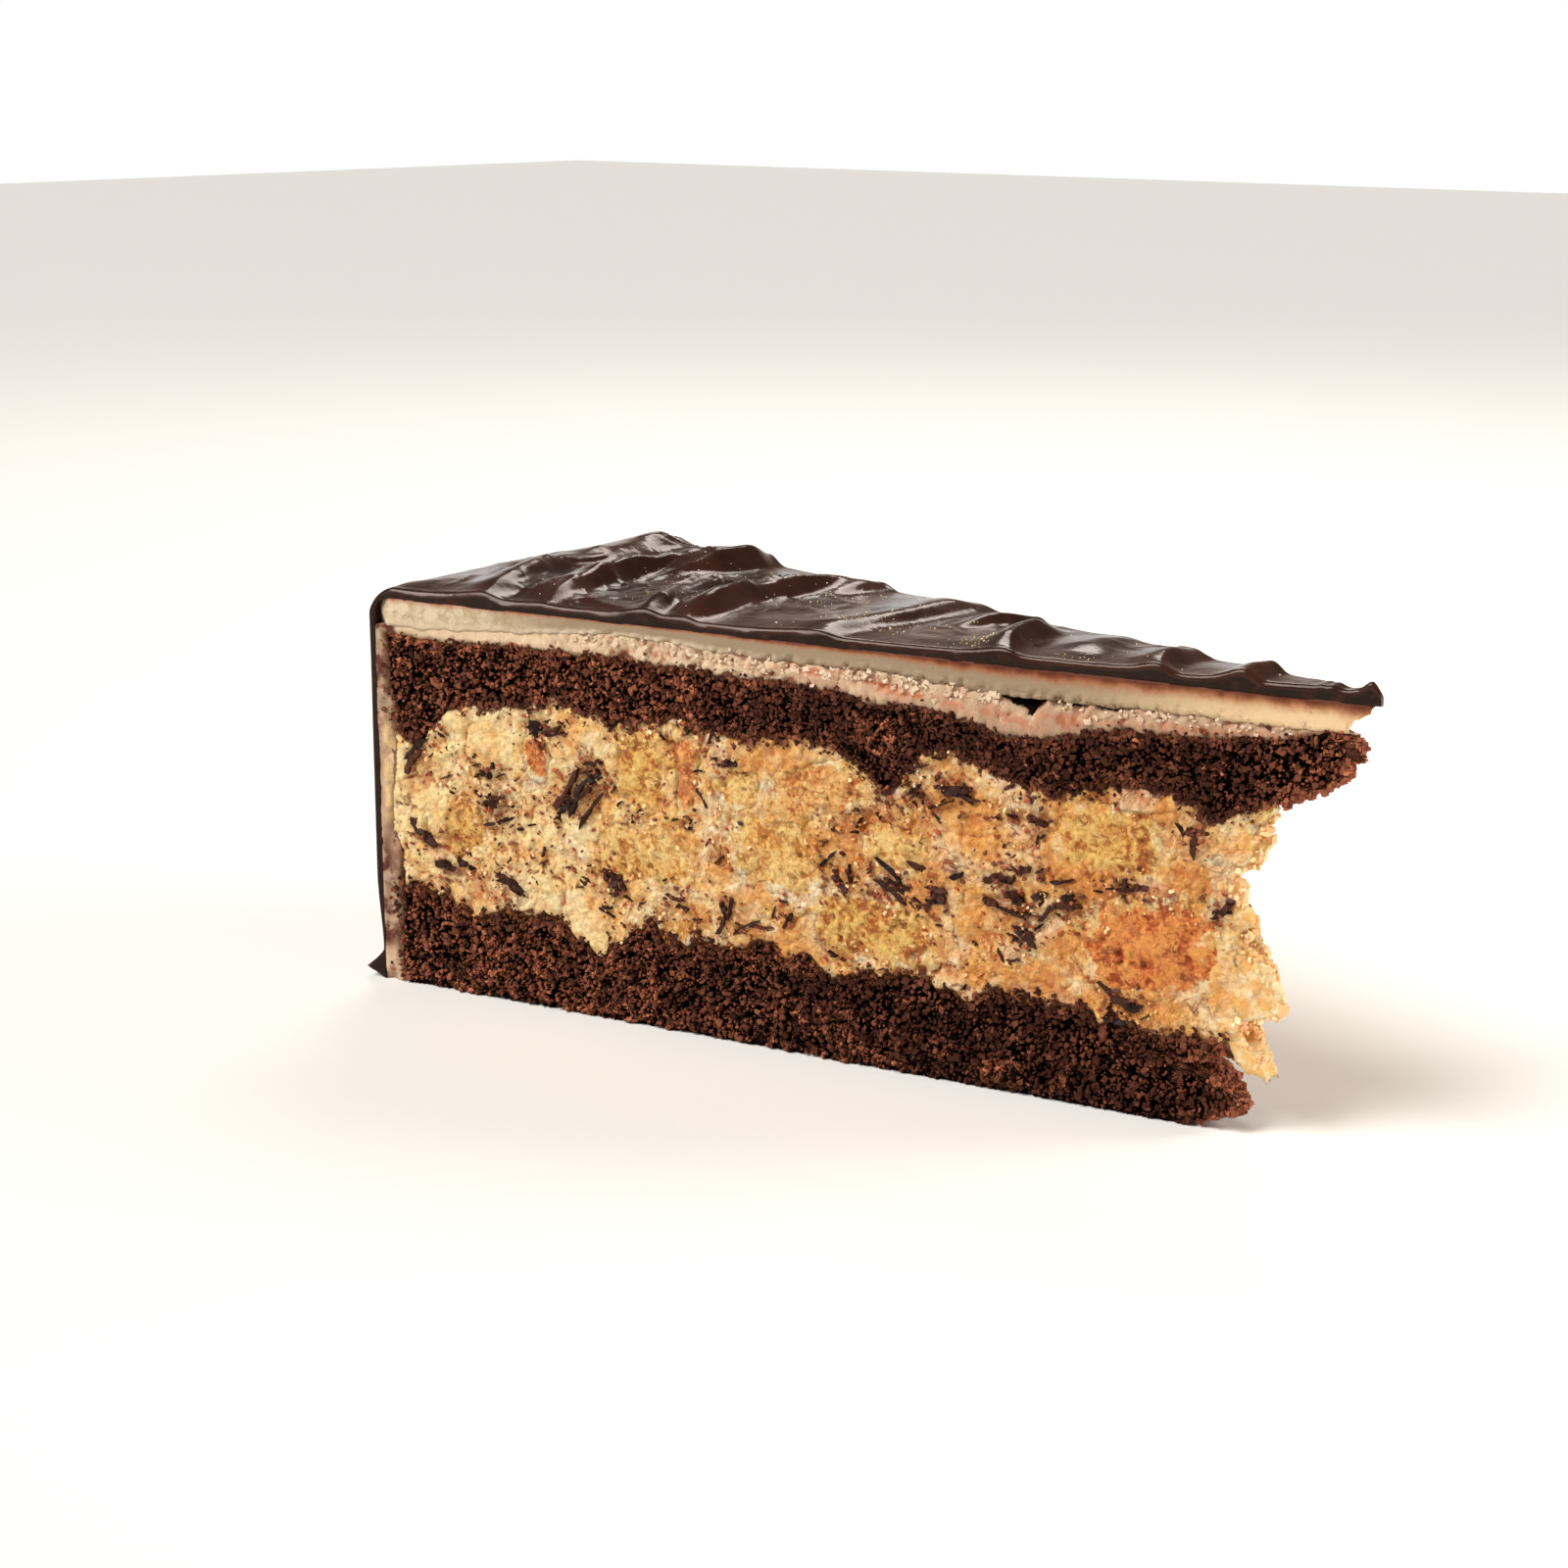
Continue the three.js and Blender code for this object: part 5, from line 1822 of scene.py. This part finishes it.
@dataclass
class Shavings:
    """Flakes of dark chocolate in the filling, whose edges show in the cuts."""

    form: SliceForm
    drawn: int = 64
    fine: int = 130
    seed: int = 11

    def build(self) -> None:
        """Builds the flakes of both cuts as one piece."""
        draw = np.random.default_rng(self.seed)
        finish = GrainFinish("shaved_chocolate", tint(24, 11, 7), tint(78, 38, 22), 0.6, 0.2)
        flakes = Scatter(self.form, "chocolate_shavings", finish, "orange_cream", Bit.SLIVER, draw)
        for group in FLAKE_GROUPS:
            self.together(flakes, group)
        for cut, count in ((Cut.FRONT, self.drawn // 4), (Cut.BACK, self.drawn)):
            self.some(flakes, cut, count, lengths=(1.4, 3.8), heights=(0.09, 0.22))
            self.some(flakes, cut, self.fine, lengths=(0.5, 1.6), heights=(0.07, 0.17))
        flakes.build()

    def together(self, flakes: Scatter, group: FlakeGroup) -> None:
        """Lays a group's flakes, the first in its middle and the others round it.

        Args:
            flakes: The flakes laid so far.
            group: The group.
        """
        draw, count = flakes.draw, group.count
        along, across = draw.normal(0, group.spread, (2, count)) * (np.arange(count) > 0)
        away = np.stack(turned(along, 0.8 * across, group.turn), axis=1)
        long = group.length * draw.uniform(0.45, 1.0, count)
        long[0] = group.length
        sizes = np.stack([long / 2, np.full(count, 0.7), draw.uniform(0.16, 0.46, count)], axis=1)
        turns = group.turn + draw.normal(0, 15, count)
        flakes.lay(Cut.FRONT, np.array(group.at) + away, sizes, turns, lift=-0.42, rough=0.8, bend=0.08)

    def some(self, flakes: Scatter, cut: Cut, count: int, lengths: Pair, heights: Pair) -> None:
        """Lays flakes clear of the chunks.

        Args:
            flakes: The flakes laid so far.
            cut: The cut face.
            count: How many.
            lengths: The least and the greatest length.
            heights: The least and the greatest half height.
        """
        draw = flakes.draw
        at = filling_places(self.form, cut, count, draw)
        long = draw.uniform(*lengths, count)
        sizes = np.stack([long / 2, np.full(count, 0.6), draw.uniform(*heights, count)], axis=1)
        flakes.lay(cut, at, sizes, draw.normal(-5, 38, count), lift=-0.38, rough=0.6, bend=0.1)


@dataclass
class Specks:
    """Fine bits of cocoa and orange in the filling."""

    form: SliceForm
    count: int = 650
    beside: int = 6
    seed: int = 17

    def build(self) -> None:
        """Builds the specks of both cuts as one piece."""
        draw = np.random.default_rng(self.seed)
        finish = GrainFinish("cocoa_bits", tint(54, 24, 14), tint(178, 86, 42), 0.7)
        specks = Scatter(self.form, "cocoa_specks", finish, "orange_cream", Bit.PEBBLE, draw)
        for cut in Cut:
            at = filling_places(self.form, cut, self.count, draw, 0.9)
            self.strew(specks, cut, at, (0.08, 0.10, 0.34), (0.8, 1.9), lift=0.12, rough=0.6)
        for group in FLAKE_GROUPS:
            away = draw.normal(0, 0.6 + 0.9 * group.spread, (self.beside * group.count, 2))
            at = np.array(group.at) + away
            self.strew(specks, Cut.FRONT, at, (0.10, 0.16, 0.38), (0.9, 2.0), lift=0.08, rough=0.8)
        specks.build()

    def strew(self, specks: Scatter, cut: Cut, at: Array, halves: Triple,
              lengths: Pair, lift: float, rough: float) -> None:
        """Lays specks at places on a cut.

        Args:
            specks: The specks laid so far.
            cut: The cut face.
            at: The places (d, z), one row each.
            halves: Half of the smallest, the usual and the largest depth.
            lengths: The least and the greatest length, as a share of the depth.
            lift: How far their middles stand out of the face.
            rough: How uneven they are.
        """
        draw, count = specks.draw, len(at)
        half = draw.triangular(*halves, count)
        sizes = np.stack([half * draw.uniform(*lengths, count), half, half * 0.8], axis=1)
        specks.lay(cut, at, sizes, draw.uniform(-60, 60, count), lift, rough)


@dataclass
class PaleCrumbs:
    """Pale grains that stand out of the orange cream and the chunks and catch the light."""

    form: SliceForm
    filling: CoreLayer
    count: int = 1100
    torn: int = 700
    depth: float = 0.34
    seed: int = 37

    def build(self) -> None:
        """Builds the grains of both cuts as one piece."""
        draw = np.random.default_rng(self.seed)
        finish = GrainFinish("pale_crumb", tint(222, 140, 64), tint(252, 222, 168), 0.5, 0.4)
        crumbs = Scatter(self.form, "pale_crumbs", finish, "orange_cream", Bit.SHARD, draw)
        for cut in Cut:
            at = filling_places(self.form, cut, self.count, draw, 0.6)
            size = draw.triangular(0.06, 0.08, 0.28, len(at))
            uneven = draw.uniform(0.7, 1.4, (len(at), 2))
            sizes = np.stack([size * uneven[:, 0], np.full(len(at), self.depth), size * uneven[:, 1]], axis=1)
            crumbs.lay(cut, at, sizes, draw.uniform(0, 180, len(at)), lift=-0.14, rough=1.0)
        crumbs.strew_end(self.filling, self.torn, (0.10, 0.18, 0.5), (0.05, 0.45))
        crumbs.build()


@dataclass
class SpongeCrumbs:
    """Grains of crumb that stand out of a sponge's cut faces and spill over the layers beside it."""

    form: SliceForm
    name: str
    layer: CoreLayer
    count: int
    seed: int
    spill: Pair
    thickness: float = 9.0

    def build(self) -> None:
        """Builds the crumbs of both cuts as one piece."""
        draw = np.random.default_rng(self.seed)
        finish = GrainFinish("cocoa_crumb", tint(48, 20, 11), tint(178, 105, 75), 0.85, 0.14)
        crumbs = Scatter(self.form, self.name, finish, "chocolate_sponge", Bit.SHARD, draw)
        for cut in Cut:
            d, z = self.places(cut, draw)
            size = draw.triangular(0.07, 0.11, 0.36, len(d))
            sizes = size[:, None] * draw.uniform(0.45, 1.5, (len(d), 3))
            patches = self.form.grain.smooth(np.stack([d, z * 1.2, z * 0 + 11], axis=-1), 2.2)
            # Darker in random patches, and darker towards the point as painted shade where the light falls
            # off.
            dim = np.clip(0.4 - 0.4 * patches, 0, 0.8) + 0.35 * eased(d, 118, 40) * eased(d, 12, 20)
            at, turns = np.stack([d, z], axis=1), draw.uniform(0, 180, len(d))
            crumbs.lay(cut, at, sizes, turns, lift=0.0, rough=1.0, dim=np.minimum(dim, 0.9))
        crumbs.strew_end(self.layer, self.count // 8, (0.08, 0.14, 0.42), (-0.15, 0.25))
        crumbs.build()

    def places(self, cut: Cut, draw: np.random.Generator) -> tuple[Array, Array]:
        """Draws where the crumbs lie on a cut, thinly spread where they spill over.

        Args:
            cut: The cut face.
            draw: What draws them.

        Returns:
            Their d and their z.
        """
        layer, below, above = self.layer, *self.spill
        d = draw.uniform(0, self.form.core_radius + 0.9, self.count)
        turn = cut.turns(self.count)
        floor, roof = layer.floor(d, turn), layer.roof(d, turn)
        share = draw.random(self.count)
        stray = draw.random(self.count) < 0.5
        held = np.clip(share, below / self.thickness, 1 - above / self.thickness)
        z = mixed(floor - below, roof + above, np.where(stray, held, share))
        end = layer.end(np.clip((z - floor) / (roof - floor), 0, 1), turn)
        beside = (d < self.form.core_radius - 0.4) | (draw.random(self.count) < 0.4)
        kept = (d > end + 0.4) & beside
        return d[kept], z[kept]


@dataclass
class CreamBits:
    """Pale flakes along the marzipan's torn lower edge, and dark crumbs that were smeared over the cream."""

    form: SliceForm
    pale: int = 360
    dark: int = 180
    gap_middle: float = 41.0
    gap_reach: float = 3.2
    seed: int = 31

    def build(self) -> None:
        """Builds the two kinds, each as one piece."""
        draw = np.random.default_rng(self.seed)
        torn = GrainFinish("torn_marzipan", tint(204, 172, 140), tint(228, 206, 178), 0.7, 0.15)
        flakes = Scatter(self.form, "marzipan_flakes", torn, "marzipan", Bit.SHARD, draw)
        for cut in Cut:
            d = draw.triangular(8, 55, 108, self.pale)
            z = self.form.marzipan_floor(d, cut.turns(self.pale)) + draw.normal(-0.7, 0.45, self.pale)
            clear = np.abs(d - self.gap_middle) > self.gap_reach
            self.strew(flakes, cut, np.stack([d, z], axis=1), 0.34, clear)
        smeared = GrainFinish("smeared_crumb", tint(40, 18, 11), tint(110, 62, 44), 0.95, 0.08)
        crumbs = Scatter(self.form, "crumbs_on_cream", smeared, "chocolate_sponge", Bit.SHARD, draw)
        for cut in Cut:
            d = draw.triangular(8, 24, 108, self.dark)
            z = self.form.sponge_top(d, cut.turns(self.dark)) + draw.exponential(0.35, self.dark)
            self.strew(crumbs, cut, np.stack([d, z], axis=1), 0.26, d > 0)
        flakes.build()
        crumbs.build()

    def strew(self, bits: Scatter, cut: Cut, at: Array, largest: float, kept: Array) -> None:
        """Lays bits at places on a cut.

        Args:
            bits: The bits laid so far.
            cut: The cut face.
            at: The places (d, z), one row each.
            largest: Half the largest bit's depth.
            kept: Which of the places are used.
        """
        half = bits.draw.triangular(0.07, 0.12, largest, len(at))
        sizes = np.stack([half * bits.draw.uniform(0.9, 1.8, len(at)), half, half], axis=1)[kept]
        bits.lay(cut, at[kept], sizes, bits.draw.uniform(-40, 40, len(sizes)), lift=-0.02, rough=1.0)


@dataclass
class GoldFlecks:
    """Specks of gold lustre on the icing, sprinkled unevenly."""

    form: SliceForm
    count: int = 420
    seed: int = 29

    def build(self) -> None:
        """Builds the flecks as one piece."""
        draw = np.random.default_rng(self.seed)
        finish = GrainFinish("gold_lustre", tint(250, 206, 110), tint(255, 244, 220), 0.35)
        flecks = Scatter(self.form, "gold_flecks", finish, "dark_chocolate", Bit.PEBBLE, draw)
        tries = self.count * 3
        d = draw.triangular(5, 60, 126, tries)
        turn = draw.triangular(-0.99, -0.7, 0.99, tries)
        gathered = self.form.ripple(d, turn, 6, 760) + 0.5 * draw.normal(0, 0.35, tries) > 0.22
        d, turn = d[gathered][:self.count], turn[gathered][:self.count]
        size = draw.triangular(0.03, 0.045, 0.13, len(d))
        shape = flecks.corners * (1 + 0.6 * (flecks.uneven(len(d)) - 0.5)) * size[:, None, None]
        flecks.put(self.form.place(d, turn, self.form.icing_top(d, turn)), shape, draw.random(len(d)))
        flecks.build()


@dataclass(frozen=True)
class SoftBox:
    """A soft studio light: where it stands, where it points, its size in metres and its power."""

    name: str
    place: Triple
    aim: Triple
    size: float
    power: float
    colour: Triple

    def build(self) -> None:
        """Builds the light."""
        data = bpy.data.lights.new(self.name, "AREA")
        data.size = self.size
        data.energy = self.power
        data.color = self.colour
        light = placed(self.name, data)
        light.location = self.place
        light.rotation_euler = (Vector(self.aim) - Vector(self.place)).to_track_quat("-Z", "Y").to_euler()


@dataclass(frozen=True)
class Studio:
    """A plain pale floor, soft light and the camera at the photograph's angle, in metres and degrees.

    The sky is as strong as a wall near the floor and as a ceiling above; wall_top is where it changes, as the
    height of its direction. It is weaker on the camera's near side; near_fade is where it changes, from -1
    behind the camera to 1 ahead of it. It turns warmer overhead.
    """

    form: SliceForm
    eye: Triple = (0.143796, -0.265943, 0.115600)
    yaw: float = 40.37
    pitch: float = 14.074
    lens: float = 67.5
    sensor: float = 36.0
    near_clip: float = 0.01
    floor_size: float = 4.0
    floor_colour: Colour = tint(231, 228, 222)
    overhead: Colour = (1.0, 0.80, 0.68, 1.0)
    plain: Colour = (1.0, 1.0, 1.0, 1.0)
    warmer: Pair = (0.04, 0.16)
    wall: float = 1.0
    ceiling: float = 0.12
    wall_top: Pair = (0.02, 0.38)
    near_side: float = 0.4
    near_fade: Pair = (-0.6, 0.5)
    sun_aim: Triple = (0.36, 0.60, -0.83)
    sun_width: float = 36.0
    sun_power: float = 3.7
    lights: tuple[SoftBox, ...] = (
        SoftBox("left_window", (-0.24, -0.30, 0.22), (-0.03, 0, 0.03), 0.25, 0.30, (1.0, 0.97, 0.93)),
        SoftBox("far_window", (-0.30, 0.42, 0.52), (0, 0, 0.04), 0.26, 1.45, (1.0, 0.92, 0.86)),
        SoftBox("right_window", (0.34, 0.36, 0.20), (0.05, 0, 0.03), 0.25, 2.2, (1.0, 0.97, 0.92)),
        SoftBox("right_fill", (0.36, 0.02, 0.09), (0.06, 0, 0.02), 0.14, 0.22, (1.0, 0.96, 0.90)),
    )

    def build(self) -> None:
        """Builds the floor, the lights, the sky and the camera."""
        self.floor()
        self.sun()
        for light in self.lights:
            light.build()
        self.sky()
        bpy.context.scene.view_settings.view_transform = "Standard"
        self.camera()

    def sun(self) -> None:
        """Lights the cut face and the floor evenly, from the left and a little above."""
        data = bpy.data.lights.new("key", "SUN")
        data.energy = self.sun_power
        data.angle = math.radians(self.sun_width)
        placed("key", data).rotation_euler = Vector(self.sun_aim).to_track_quat("-Z", "Y").to_euler()

    def sky(self) -> None:
        """Lights the scene softly from all round, brightest near the floor like a white studio wall."""
        world = bpy.data.worlds.new("studio")
        world.use_nodes = True
        nodes = Nodes(world.node_tree)
        direction = nodes.lay("ShaderNodeTexCoord", "Generated", {})
        height = nodes.lay("ShaderNodeSeparateXYZ", "Z", {0: direction})
        yaw = math.radians(self.yaw)
        ahead = {0: direction, 1: (-math.sin(yaw), math.cos(yaw), 0)}
        facing = nodes.lay("ShaderNodeVectorMath", "Value", ahead, operation="DOT_PRODUCT")
        fall = nodes.span(height, *self.wall_top, self.wall, self.ceiling)
        far = nodes.span(facing, *self.near_fade, self.near_side, 1.0)
        warmth = nodes.span(height, *self.warmer, rise="LINEAR")
        background = nodes.tree.nodes["Background"]
        nodes.feed(background.inputs["Color"], nodes.blend(warmth, self.plain, self.overhead))
        nodes.feed(background.inputs["Strength"], nodes.times(fall, far))
        bpy.context.scene.world = world

    def floor(self) -> None:
        """Lays the floor that the slice stands on."""
        ground = bmesh.new()
        bmesh.ops.create_grid(ground, x_segments=8, y_segments=8, size=self.floor_size / 2)
        mesh = bpy.data.meshes.new("floor")
        ground.to_mesh(mesh)
        ground.free()
        mesh.materials.append(Paint("pale_floor").finish(self.floor_colour, None, 0.7, 0.2))
        floor = placed("floor", mesh)

    def camera(self) -> None:
        """Sets the camera where the photograph was taken from."""
        data = bpy.data.cameras.new("camera")
        data.lens = self.lens
        data.sensor_width = self.sensor
        data.clip_start = self.near_clip
        camera = placed("camera", data)
        camera.location = (self.eye[0] + self.form.centre_x * MM, self.eye[1], self.eye[2])
        camera.rotation_euler = (math.radians(90 - self.pitch), 0, math.radians(self.yaw))
        bpy.context.scene.camera = camera


def core_layers(form: SliceForm) -> tuple[CoreLayer, CoreLayer, CoreLayer, CoreLayer]:
    """The layers inside the coat.

    Args:
        form: The slice's form.

    Returns:
        The upper sponge, the filling, the lower sponge and the marzipan.
    """
    rim = form.core_radius + 1.1
    upper = SpongeLayer(
        form, "cocoa_sponge_upper", "sponge_upper", "chocolate_sponge", SpongeFinish(),
        floor=form.filling_top, roof=form.sponge_top,
        point=((0, 10.6), (0.26, 7.4), (0.4, 4.9), (0.54, 3.1), (0.63, 3.9), (0.8, 2.2), (1, 4.1)),
        squares=(410, 14, 42), rim=rim, seed=41, under=0.9, over=0.4,
    )
    filling = FillingLayer(
        form, "orange_cream_filling", "filling", "orange_cream", FillingFinish(),
        floor=form.filling_floor, roof=form.filling_top,
        point=(
            (0, 10.2), (0.05, 11.2), (0.12, 13.4), (0.18, 12.8), (0.25, 9.8), (0.3, 9.7), (0.42, 11.6),
            (0.58, 13.1), (0.7, 14.6), (0.86, 11.6), (1, 11.0),
        ),
        squares=(390, 14, 86), rim=rim, seed=43, under=0.9, over=0.9,
    )
    lower = SpongeLayer(
        form, "cocoa_sponge_lower", "sponge_lower", "chocolate_sponge", SpongeFinish(),
        floor=lambda d, turn: d * 0, roof=form.filling_floor,
        point=(
            (0, 18.6), (0.12, 15.6), (0.3, 13.2), (0.42, 13.4), (0.54, 15.6), (0.66, 21.5), (0.78, 17.5),
            (1, 13.4),
        ),
        squares=(400, 14, 42), rim=rim, seed=47, over=0.9,
    )
    marzipan = MarzipanLayer(
        form, "marzipan_layer", "marzipan", "marzipan", MarzipanFinish(),
        floor=form.marzipan_floor, roof=lambda d, turn: d * 0 + form.marzipan_top + 0.05,
        point=((0, 4.2), (0.35, 3.8), (0.7, 2.2), (1, 1.6)),
        squares=(420, 8, 10), rim=form.cream_radius - 0.02, seed=53, torn=0.25,
    )
    return upper, filling, lower, marzipan


def main() -> None:
    """Builds the slice and its studio."""
    logging.basicConfig(level=logging.INFO, format="%(name)s %(message)s")
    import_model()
    low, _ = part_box("icing")
    form = SliceForm(centre_x=low.x / MM + SliceForm.cake_radius + SliceForm.foot_reach)
    Studio(form).build()
    upper, filling, lower, marzipan = core_layers(form)
    for layer in (upper, filling, lower, marzipan):
        layer.build()
    CreamCoat(form).build()
    Icing(form).build()
    SpongeChunks(form).build()
    Shavings(form).build()
    Specks(form).build()
    PaleCrumbs(form, filling).build()
    SpongeCrumbs(form, "upper_sponge_crumbs", upper, 6200, 23, (1.3, 0.6)).build()
    SpongeCrumbs(form, "lower_sponge_crumbs", lower, 7400, 24, (-0.4, 1.3)).build()
    CreamBits(form).build()
    GoldFlecks(form).build()


if __name__ == "__main__":
    main()
